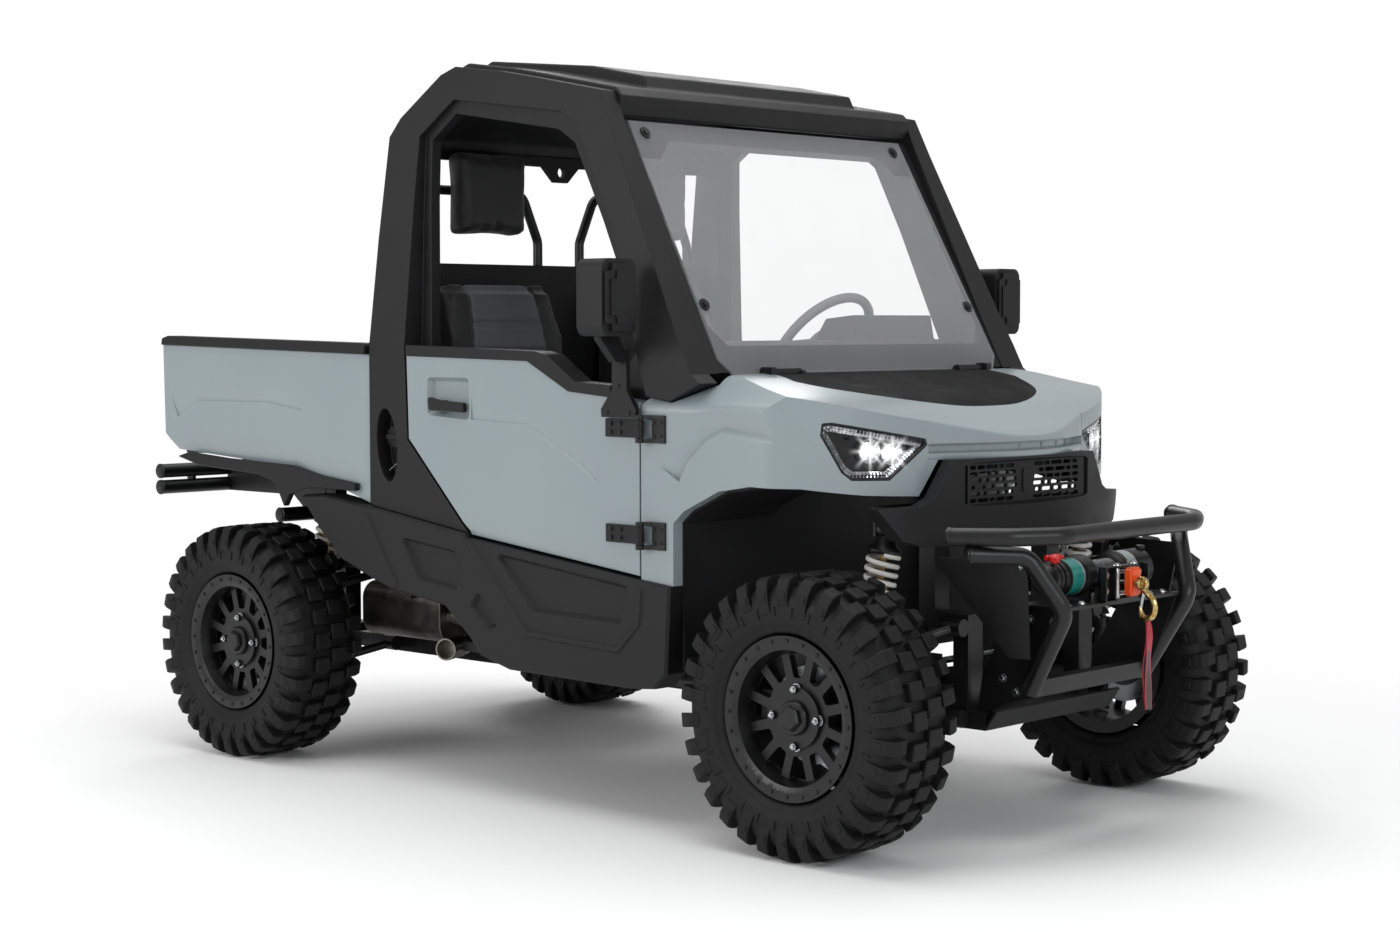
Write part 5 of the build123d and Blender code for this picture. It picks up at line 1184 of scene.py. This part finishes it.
# Moulded acrylic: clear and glossy, so mostly its reflections show.
lamp_lens = finish_of(
    "clear_acrylic_lens", "#3A3D40", "#44474A", 40, 0.002, 0.03, Alpha=0.06,
)
gloss_black = finish_of("gloss_black_polycarbonate", "#08080A", "#0C0C0E", 5.0, 0.003, 0.12)
# Aluminised plastic: a bright mirror, slightly rippled.
reflector = finish_of(
    "aluminised_reflector", "#B4B6B8", "#DADCDD", 4.0, 0.08, 0.12, drift=14, Metallic=1.0,
)
diode, tree = start_material("lit_white_diode")
surface(tree, add_node(
    tree, "ShaderNodeEmission", {"Color": linear("#FFFFFF"), "Strength": 9.0},
))
# The light's own star, spread by the lens: bright rays that fade out over 60 mm.
star_light, tree = start_material("star_of_lamp_light")
spot = add_node(tree, "ShaderNodeUVMap", uv_map="rays").outputs["UV"]
axes = add_node(tree, "ShaderNodeSeparateXYZ", links={0: spot})
radius = add_node(tree, "ShaderNodeVectorMath", links={0: spot}, operation="LENGTH")
angle = add_node(
    tree, "ShaderNodeMath", links={0: axes.outputs["Y"], 1: axes.outputs["X"]},
    operation="ARCTAN2",
)
turns = add_node(tree, "ShaderNodeMath", {1: 4.0}, {0: angle.outputs[0]}, operation="MULTIPLY")
swing = add_node(tree, "ShaderNodeMath", links={0: turns.outputs[0]}, operation="COSINE")
even = add_node(tree, "ShaderNodeMath", links={0: swing.outputs[0]}, operation="ABSOLUTE")
rays = add_node(tree, "ShaderNodeMath", {1: 9.0}, {0: even.outputs[0]}, operation="POWER")
inside = add_node(
    tree, "ShaderNodeMapRange", {"From Min": 1.0, "From Max": 0.0},
    {"Value": radius.outputs["Value"]},
)
halo = add_node(tree, "ShaderNodeMath", {1: 4.5}, {0: inside.outputs[0]}, operation="POWER")
fall = add_node(tree, "ShaderNodeMath", {1: 1.6}, {0: inside.outputs[0]}, operation="POWER")
beams = add_node(
    tree, "ShaderNodeMath", links={0: rays.outputs[0], 1: fall.outputs[0]}, operation="MULTIPLY"
)
shine = add_node(
    tree, "ShaderNodeMath", links={0: beams.outputs[0], 1: halo.outputs[0]}, operation="ADD",
    use_clamp=True,
)
surface(tree, add_node(
    tree, "ShaderNodeMixShader",
    links={0: shine.outputs[0],
           1: add_node(tree, "ShaderNodeBsdfTransparent").outputs[0],
           2: add_node(tree, "ShaderNodeEmission", {"Strength": 1.6}).outputs[0]},
))

shell_verts, shell_faces = [], []
for piece in [skins["nose"], skins["wings"], beak_skin] + [
    nodes[name] for name in ("headlamps", "fascia", "hood_insert")
]:
    start = len(shell_verts)
    shell_verts += [vertex.co.copy() for vertex in piece.data.vertices]
    shell_faces += [[start + k for k in face.vertices] for face in piece.data.polygons]
front_shell = BVHTree.FromPolygons(shell_verts, shell_faces)


def on_lamp(across, up, depth):
    """A point so far behind the lamp's outer face, in mm; across and up are in its plane."""
    aim = LAMP_MIDDLE + LAMP_IN * across / 1000 + Vector((0, 0, up / 1000))
    hit = front_shell.ray_cast(aim + LAMP_OUT * 0.3, -LAMP_OUT)[0]
    return ((hit or aim) - LAMP_OUT * depth / 1000) * 1000


def inset(outline, gap):
    """A convex outline drawn in by a gap."""
    moved = []
    count = len(outline)
    middle = sum((Vector(spot) for spot in outline), Vector((0, 0))) / count
    for i in range(count):
        before, here, after = (Vector(outline[(i + k) % count]) for k in (-1, 0, 1))
        first, second = (here - before).normalized(), (after - here).normalized()
        sides = []
        for way in (first, second):
            normal = Vector((-way.y, way.x))
            sides.append(normal if normal.dot(middle - here) > 0 else -normal)
        bisector = (sides[0] + sides[1]).normalized()
        moved.append(here + bisector * gap / max(bisector.dot(sides[0]), 0.4))
    return moved


def lamp_loop(shape, gap, depth, wave=0.0):
    """A loop of vertices along the lamp's edge, drawn in, at a depth that may go up and down."""
    near = inset(LAMP_EDGE, gap)
    drawn = []
    for i, here in enumerate(LAMP_EDGE):
        j = (i + 1) % len(LAMP_EDGE)
        steps = max(int((Vector(LAMP_EDGE[j]) - Vector(here)).length / FLUTE_PITCH), 1)
        drawn += [near[i].lerp(near[j], k / steps) for k in range(steps)]
    return [
        shape.verts.new(on_lamp(spot.x, spot.y, depth + (wave if k % 2 else 0)))
        for k, spot in enumerate(drawn)
    ]


bezel = bmesh.new()
banded(bezel, [
    lamp_loop(bezel, 0.6, 12), lamp_loop(bezel, 0.6, 1.0), lamp_loop(bezel, 6, 1.0),
    lamp_loop(bezel, 7.5, 3), lamp_loop(bezel, 8, 26),
])
floor_loop = lamp_loop(bezel, 8, 26)
bezel.faces.new(floor_loop)
for across, up, wide in ((-70, 40, 60), (92, 20, 44)):
    corners = [(across, up), (across + wide, up - 8), (across + wide, up - 13), (across, up - 5)]
    bezel.faces.new([bezel.verts.new(on_lamp(*corner, 12)) for corner in corners])
for left, right, top, low in (((-52, 62), (134, 31), 0, 9), ((-80, -50), (28, -52), 0, 5)):
    corners = [left, right, (right[0], right[1] - low), (left[0], left[1] - low)]
    front = [bezel.verts.new(on_lamp(*corner, 7)) for corner in corners]
    back = [bezel.verts.new(on_lamp(*corner, 24)) for corner in corners]
    bezel.faces.new(front)
    banded(bezel, [front, back])
flutes = bmesh.new()
banded(flutes, [
    lamp_loop(flutes, 8, 6, 6), lamp_loop(flutes, 14, 8, 6), lamp_loop(flutes, 15, 5, 6),
    lamp_loop(flutes, 22, 8, 6), lamp_loop(flutes, 24, 22, 0),
])
for across, up in DIODES:
    aim = on_lamp(across, up, 0)
    turned(
        flutes, aim - LAMP_OUT * 24, LAMP_OUT,
        [(0, 8), (1, 14), (6, 20), (12, 25), (18, 28), (18, 30), (0, 30)], 28,
    )
centres = bmesh.new()
stars = bmesh.new()
rays_layer = stars.loops.layers.uv.new("rays")
for across, up in DIODES:
    aim = on_lamp(across, up, 0)
    turned(centres, aim - LAMP_OUT * 20, LAMP_OUT, [(0, 9), (3, 9), (5, 6)], 20)
    side = LAMP_OUT.cross(Vector((0, 0, 1))).normalized()
    count = 32
    hub = stars.verts.new(aim - LAMP_OUT * 2)
    rim = [
        stars.verts.new(
            aim - LAMP_OUT * 2
            + (side * cos(2 * pi * k / count) + Vector((0, 0, sin(2 * pi * k / count)))) * RAY_REACH
        )
        for k in range(count)
    ]
    for k in range(count):
        j = (k + 1) % count
        face = stars.faces.new((hub, rim[k], rim[j]))
        for loop, step in zip(face.loops, (None, k, j)):
            loop[rays_layer].uv = (
                (0, 0) if step is None
                else (cos(2 * pi * step / count), sin(2 * pi * step / count))
            )
lamp_parts = [
    painted(mesh_of("lamp_bezel", bezel), gloss_black),
    painted(mesh_of("lamp_flutes", flutes), reflector),
    painted(mesh_of("lamp_diodes", centres), diode),
]
lamp_mesh = joined("headlamp_inside", lamp_parts)
star_mesh = mesh_of("headlamp_star", stars)
star_mesh.materials.append(star_light)
for hand, mirror in (("right", 1), ("left", -1)):
    for mesh, label in ((lamp_mesh, "headlamp_inside"), (star_mesh, "headlamp_star")):
        own = mesh.copy()
        if mirror < 0:
            own.transform(Matrix.Scale(-1, 4, OUT))
            own.flip_normals()
        inside = add_object(f"{label}_{hand}", own)
        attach(inside, "chassis")
softened("headlamps", 1, lamp_lens, 40)

# ---------------------------------------------------------------- screen fixings and cowl
# The clear sheet is held by black screws through rubber washers.  Two clamps hinge its foot on
# the cowl, and a rubber seal runs along its lower edge.
screen_bolts = screws("screen_bolts", [
    (side * x, s, z, (0, -0.879, 0.477))
    for side in (-1, 1) for x, s, z in ((516, 701, 1771), (553, 458, 1324))
], 9, 8, 17, screw_tree("domed_screen_screws", powder_coat, 14))
fitted("screen_bolts", [screen_bolts])
clamps = bmesh.new()
for side in (-1, 1):
    for low, high in (
        ((330, 318, 1147), (456, 342, 1162)), ((440, 308, 1145), (470, 348, 1166)),
        ((322, 312, 1143), (346, 338, 1158)),
    ):
        low, high = Vector(low), Vector(high)
        block(clamps, on_side(side, (low + high) / 2), high - low)
rounded(clamps, clamps.edges[:], 4)
seal = bmesh.new()
turned(seal, (-548, 372, 1149), LEFT, [(0, 4), (1096, 4)], 10)
fitted("screen_clamps", [
    dressed("screen_clamps", clamps, powder_coat),
    dressed("screen_seal", seal, boot_rubber),
])

# ---------------------------------------------------------------- hinges, handles and mirrors
# Die-cast hinge leaves held by two screws each.  The mirrors' black housings have a stepped
# front and a flat glass behind, in a rim.
hinge_screws = both_hands([
    (-706, s, low + up, RIGHT) for low in (722, 990) for s in (463, 487) for up in (6, 40)
])
fitted("hinge_screws", [screws("hinge_screws", hinge_screws, 4.5, 3, 6, black_hex)])
# Silvered glass: a cold mirror.
mirror_glass = finish_of(
    "silvered_mirror_glass", "#C4CACD", "#CBD0D3", 60, 0.001, 0.02, Metallic=1.0,
)
for hand, side in (("right", -1), ("left", 1)):
    spots = [
        (side * 708, s, low + up, (side, 0, 0))
        for low in (722, 990) for s in (606, 640) for up in (12, 34)
    ]
    spots += [(side * 722, s, z, (side, 0, 0)) for s, z in ((560, 1052), (638, 1052), (598, 1120))]
    trim = [screws("leaf_screws", spots, 5, 3.5, 7, black_hex)]
    shape = bmesh.new()
    for middle, size in (
        ((812, 500, 1341), (104, 10, 168)), ((812, 495, 1341), (78, 8, 130)),
        ((812, 594, 1341), (112, 6, 184)),
    ):
        corners = block(shape, on_side(side, middle), size)
        upright = [
            edge for edge in dict.fromkeys(e for v in corners for e in v.link_edges)
            if abs(edge.verts[0].co.y - edge.verts[1].co.y) > 1
        ]
        rounded(shape, upright, 20, 5, clamped=False)
    trim.append(dressed("mirror_shell", shape, moulded_black))
    shape = bmesh.new()
    block(shape, (side * 812, 597, 1341), (98, 3, 170))
    upright = [e for e in shape.edges if abs(e.verts[0].co.y - e.verts[1].co.y) > 1]
    rounded(shape, upright, 16, 5, clamped=False)
    trim.append(dressed("mirror_glass", shape, mirror_glass))
    fitted(f"mirror_and_screws_{hand}", trim, f"door_{hand}")

# ---------------------------------------------------------------- fuel filler
# A black screw cap with finger grips in the right-hand recess, kept by a short bead chain; the
# left-hand recess has a plain blanking disc.
FILLER_S = 1531
fillers = bmesh.new()
turned(fillers, (-650, FILLER_S, 962), RIGHT, [(0, 38), (4, 38), (6, 34), (20, 32), (22, 29)], 36)
for k in range(12):
    turn = 2 * pi * k / 12
    turned(
        fillers, (-655, FILLER_S + 33 * cos(turn), 962 + 33 * sin(turn)), RIGHT,
        [(0, 3.5), (15, 3.5), (16, 2.5)], 10,
    )
block(fillers, (-675, FILLER_S, 962), (10, 52, 12))
turned(fillers, (650, FILLER_S, 940), LEFT, [(0, 40), (4, 40), (5, 36)], 36)
bead_tree, given, bead_keys = start_group("bead_chain", Line="Geometry", Bead_radius="Float")
bead = add_node(
    bead_tree, "GeometryNodeMeshIcoSphere", {"Subdivisions": 2},
    {"Radius": given.outputs["Bead radius"]},
)
strung = add_node(
    bead_tree, "GeometryNodeInstanceOnPoints",
    links={"Points": given.outputs["Line"], "Instance": bead.outputs["Mesh"]},
)
finish_group(bead_tree, strung.outputs[0], zinc_plate)
chain_line = bpy.data.meshes.new("chain_line")
chain_line.from_pydata([
    place(-672 + 4 * t, FILLER_S - 16 + 40 * t - 26 * sin(pi * t), 940 - 72 * t)
    for t in (k / 17 for k in range(18))
], [], [])
fitted("filler_cap", [
    dressed("filler_cap", fillers, moulded_black),
    smooth(grown(chain_line, bead_tree, {bead_keys[1]: 0.0024}), 60),
])

# ---------------------------------------------------------------- nose marks
# Seven pairs of short ribs stiffen the groove across the nose, moulded with it and painted over
# in one coat.
ribs = bmesh.new()
for x in (-266, -196, -112, -38, 60, 150, 236):
    for step, radius in ((0, 1.1), (5, 0.8)):
        hit = front_shell.ray_cast(place(x, -400, 966), Vector((0, 1, 0)))[0]
        if hit:
            turned(
                ribs, Vector((x + step, hit.y * 1000 - FRONT_AXLE * 1000 - 0.4, 957)), (0.35, 0, 1),
                [(0, 0.3), (3, radius), (15, radius), (19, 0.3)], 8,
            )
plain_piece("nose_ribs", ribs, body_paint)

# ---------------------------------------------------------------- seats
# Two bucket seats of moulded foam in coated fabric: dark side bolsters and a lighter, cross-sewn
# middle.  Each has a separate headrest on the hoop behind it.
SEAT_X = 335
BOLSTER = 150                        # middle of the seat to the seam
CUSHION_SEAM = 812                   # height above which the cushion's seams are sewn
# Coated fabric with a leather grain of about 2 mm; the two greys meet at the bolster seams.
dark_cover = finish_of(
    "dark_coated_seat_fabric", "#1A1A1B", "#222223", 2.0, 0.12, 0.58, Sheen_Weight=0.15,
)
light_cover = finish_of(
    "grey_coated_seat_fabric", "#55575A", "#5F6164", 2.2, 0.14, 0.6, Sheen_Weight=0.2,
)


def bolster_at(z):
    """The middle of the backrest to the seam at a height; the seams draw together above."""
    return BOLSTER - 30 * max(z - 1100, 0) / 300


def foam(outline, half_width, taper=0.0, bevel=30):
    """A closed block of foam: an outline of (station, z), as wide as its fabric, edges rounded."""
    shape = bmesh.new()
    top = max(z for _, z in outline)
    low = min(z for _, z in outline)
    ends = []
    for side in (-1, 1):
        ends.append([
            shape.verts.new((side * (half_width - taper * (z - low) / (top - low)), s, z))
            for s, z in outline
        ])
    shape.faces.new(ends[0])
    shape.faces.new(ends[1][::-1])
    for i in range(len(outline)):
        j = (i + 1) % len(outline)
        shape.faces.new((ends[0][i], ends[1][i], ends[1][j], ends[0][j]))
    rounded(shape, shape.edges[:], bevel, 3)
    return mesh_of("foam", shape, 0)


def swollen(mesh, cap, voxel=0.009):
    """The foam under its cover: blown up a little by cloth pressure, no point past a cap in mm."""
    pad = add_object("pad", mesh)
    remesh = pad.modifiers.new("even", "REMESH")
    remesh.mode = "VOXEL"
    remesh.voxel_size = voxel
    remesh.use_smooth_shade = True
    rest = baked(pad)
    pad.modifiers.clear()
    pad.data = rest
    cloth = pad.modifiers.new("cover", "CLOTH")
    cloth.settings.use_pressure = True
    cloth.settings.uniform_pressure_force = 4
    cloth.settings.effector_weights.gravity = 0
    cloth.point_cache.frame_start, cloth.point_cache.frame_end = 1, 20
    for step in range(1, 21):
        bpy.context.scene.frame_set(step)
    blown = baked(pad)
    pad.modifiers.clear()
    for start, end in zip(rest.vertices, blown.vertices):
        moved = end.co - start.co
        if moved.length > cap / 1000:
            moved *= cap / 1000 / moved.length
        start.co += moved
    bpy.context.scene.frame_set(1)
    finer = pad.modifiers.new("finer", "SUBSURF")
    finer.levels = finer.render_levels = 1
    done = baked(pad)
    bpy.data.objects.remove(pad)
    return done


def sewn(mesh, seams, depth=5.0, width=7.0):
    """Draws the cover in along its seams: functions of (x, station, z) in mm, zero on the seam."""
    outward = [vertex.normal.copy() for vertex in mesh.vertices]
    for vertex, normal in zip(mesh.vertices, outward):
        spot = Vector((vertex.co.x, vertex.co.y - FRONT_AXLE, vertex.co.z)) * 1000
        pull = max(1 / (1 + (seam(spot) / width) ** 4) for seam in seams)
        vertex.co -= normal * pull * depth / 1000
    return mesh


def covered(name, mesh, shift, middle, node):
    """A padded piece at a seat, in a lighter cover where a function of the point in mm says so."""
    own = mesh.copy()
    own.materials.clear()
    own.materials.append(dark_cover)
    own.materials.append(light_cover)
    for face in own.polygons:
        at = Vector((face.center.x, face.center.y - FRONT_AXLE, face.center.z)) * 1000
        face.material_index = 1 if middle(at) else 0
    own.shade_smooth()
    own.transform(Matrix.Translation((shift / 1000, 0, 0)))
    pad = add_object(name, own)
    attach(pad, "chassis")
    if node:
        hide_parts(node)
    return pad


cushion = sewn(
    swollen(foam([
        (1092, 746), (1082, 800), (1112, 850), (1250, 842), (1388, 830), (1390, 746),
    ], 246), 9),
    [lambda p: abs(p.x) - BOLSTER if p.z > CUSHION_SEAM else 99] + [
        (lambda p, at=at: p.y - at if abs(p.x) < BOLSTER and p.z > CUSHION_SEAM else 99)
        for at in (1160, 1225, 1290, 1350)
    ],
)
backrest = sewn(
    swollen(foam([
        (1412, 856), (1482, 752), (1541, 752), (1541, 1386), (1502, 1402), (1458, 1392),
        (1420, 1240), (1403, 1000),
    ], 244, taper=34, bevel=26), 8),
    [lambda p: abs(p.x) - bolster_at(p.z) if p.y < 1500 else 99] + [
        (lambda p, at=at: p.z - at if abs(p.x) < BOLSTER - 10 and p.y < 1490 else 99)
        for at in (960, 1040, 1120, 1200, 1280)
    ],
)
head_pad = swollen(foam([
    (1466, 1536), (1466, 1758), (1488, 1766), (1545, 1764), (1545, 1530),
], 126, bevel=26), 7)
for hand, side in (("right", -1), ("left", 1)):
    for name, pad, out, lighter, node in (
        ("seat_cushion", cushion, SEAT_X, lambda p: abs(p.x) < BOLSTER and p.z > 815,
         "seat_cushions"),
        ("seat_back", backrest, SEAT_X, lambda p: abs(p.x) < bolster_at(p.z) and p.y < 1500,
         "seat_backs"),
        ("headrest", head_pad, 340, lambda p: False, "headrests"),
    ):
        covered(f"{name}_{hand}", pad, side * out, lighter, node if side < 0 else None)

# ---------------------------------------------------------------- belts
# Black woven belts, one at each seat's outer shoulder, run from a moulded anchor on the cab side
# down to the floor.
belt_web = finish_of("woven_black_webbing", "#0D0D0E", "#161617", 1.6, 0.2, 0.7)
belts = bmesh.new()
for side in (-1, 1):
    rows = []
    for x, s, z in (
        (588, 1478, 1690), (586, 1470, 1400), (588, 1440, 1100), (592, 1410, 860),
        (592, 1400, 760),
    ):
        rows.append([
            belts.verts.new((side * (x + out), s + along, z))
            for out, along in ((0, -23), (0, 23), (-1.6, 23), (-1.6, -23))
        ])
    banded(belts, rows)
    belts.faces.new(rows[0])
    belts.faces.new(rows[-1][::-1])
    block(belts, (side * 592, 1478, 1696), (12, 66, 44))
plain_piece("seat_belts", belts, belt_web)

# ---------------------------------------------------------------- steering wheel and instruments
# A grey soft-plastic rim on three spokes, with a plain cap in the middle, on a tilted column.
# A small screen stands under the instrument hood, and a lever and switches sit beside it.
WHEEL_TILT = 38
WHEEL_MIDDLE = Vector((315, 800, 1215))
UP_COLUMN = Vector((0, cos(radians(WHEEL_TILT)), sin(radians(WHEEL_TILT))))
# Soft polyurethane, mid grey, with a fine leather grain.
soft_grip = finish_of("grey_soft_polyurethane", "#606264", "#6A6C6E", 1.5, 0.1, 0.5)
wheel = bmesh.new()
ring = [(14 * sin(2 * pi * k / 14), 172 + 14 * cos(2 * pi * k / 14)) for k in range(14)]
turned(wheel, WHEEL_MIDDLE, UP_COLUMN, ring, 72, closed=True)
turned(wheel, WHEEL_MIDDLE, UP_COLUMN, [(-16, 40), (-14, 52), (6, 56), (14, 50), (17, 30)], 40)
turned(wheel, WHEEL_MIDDLE, -UP_COLUMN, [(10, 30), (30, 26), (88, 24)], 24)
down = UP_COLUMN.cross(OUT)
for way, wide in ((OUT, 17), (-OUT, 17), (down, 20)):
    flat = way.cross(UP_COLUMN).normalized()
    ends = []
    for reach, half, lift in ((46, wide, 9), (110, wide * 0.8, 7), (164, wide * 0.6, 7)):
        base = WHEEL_MIDDLE + way * reach
        ends.append([
            wheel.verts.new(base + flat * a * half + UP_COLUMN * b * lift)
            for a, b in ((-1, -1), (1, -1), (1, 1), (-1, 1))
        ])
    banded(wheel, ends)
steering = add_object(
    "steering_wheel_grip", dressed("steering_wheel_grip", wheel, soft_grip)
)
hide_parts("steering_wheel")
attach(steering, "steering_wheel")
panel = bmesh.new()
for middle, size in (
    ((315, 668, 1252), (150, 8, 74)), ((0, 690, 1120), (180, 14, 60)),
    ((-300, 684, 1080), (330, 20, 110)), ((120, 694, 1060), (60, 14, 34)),
    ((200, 694, 1060), (60, 14, 34)),
):
    block(panel, middle, size)
turned(panel, (70, 700, 1130), (0, 0.8, 0.6), [(0, 9), (60, 7), (62, 15), (84, 17), (92, 10)], 20)
corners = [e for e in panel.edges if len(e.link_faces) == 2 and e.calc_face_angle(0) > 1.4]
rounded(panel, corners, 3)
plain_piece("dash_panel", panel, moulded_black)

# ---------------------------------------------------------------- cargo bed and tail
# Lamps of red acrylic are let into the rear ends of the bed's sides.  Tie-down eyes stand on its
# walls, black screws hold its rails and gate, and plastic caps close the tubes behind.
# Moulded red acrylic: deep, glossy, prismed inside.
red_acrylic = finish_of(
    "moulded_red_acrylic", "#5E0608", "#8A0C0E", 6.0, 0.3, 0.1, drift=10, Coat_Weight=0.5,
)
softened("tail_lamps", 2, red_acrylic, 40)
tail = bmesh.new()
for side in (-1, 1):
    for z in (814, 763):
        turned(
            tail, (side * 600, 2767, z), (side, 0, 0),
            [(-8, 22), (-7, 23.2), (0, 23.2), (1, 22), (1.5, 19), (4, 18), (5, 14)], 32,
        )
    turned(
        tail, (side * 500, 2282, 694), (side, 0, 0),
        [(-6, 22), (0, 23.4), (1, 22), (1.5, 19), (4, 18), (5, 14)], 32,
    )
    # tie-down eyes
    for s in (1760, 2400):
        turned(tail, (side * 652, s, 1110), (-side, 0, 0), [(0, 22), (4, 22), (6, 18)], 20)
        turned(tail, (side * 640, s - 16, 1110), REARWARD, [(0, 4), (32, 4)], 10)
plain_piece("tail_caps", tail, powder_coat, "bed")
gate_screws = [
    (x, 2596, z, REARWARD) for x in (-600, 600) for z in (960, 1180)
] + [(x, 2596, 1120, REARWARD) for x in (-130, 130)]
gate = [screws("gate_screws", gate_screws, 6, 4, 9, black_hex)]
fitted("gate_screws", gate, "tailgate")
rail_screws = both_hands([
    (-678, s, 1222 + 19 * (s - 1620) / 975, UP) for s in (1660, 1860, 2060, 2260, 2460)
])
fitted(
    "rail_screws", [screws("rail_screws", rail_screws, 5, 3, 9, black_hex)], "bed",
)

# ---------------------------------------------------------------- last update
# The view layer is brought up to date at the end.
bpy.context.view_layer.update()
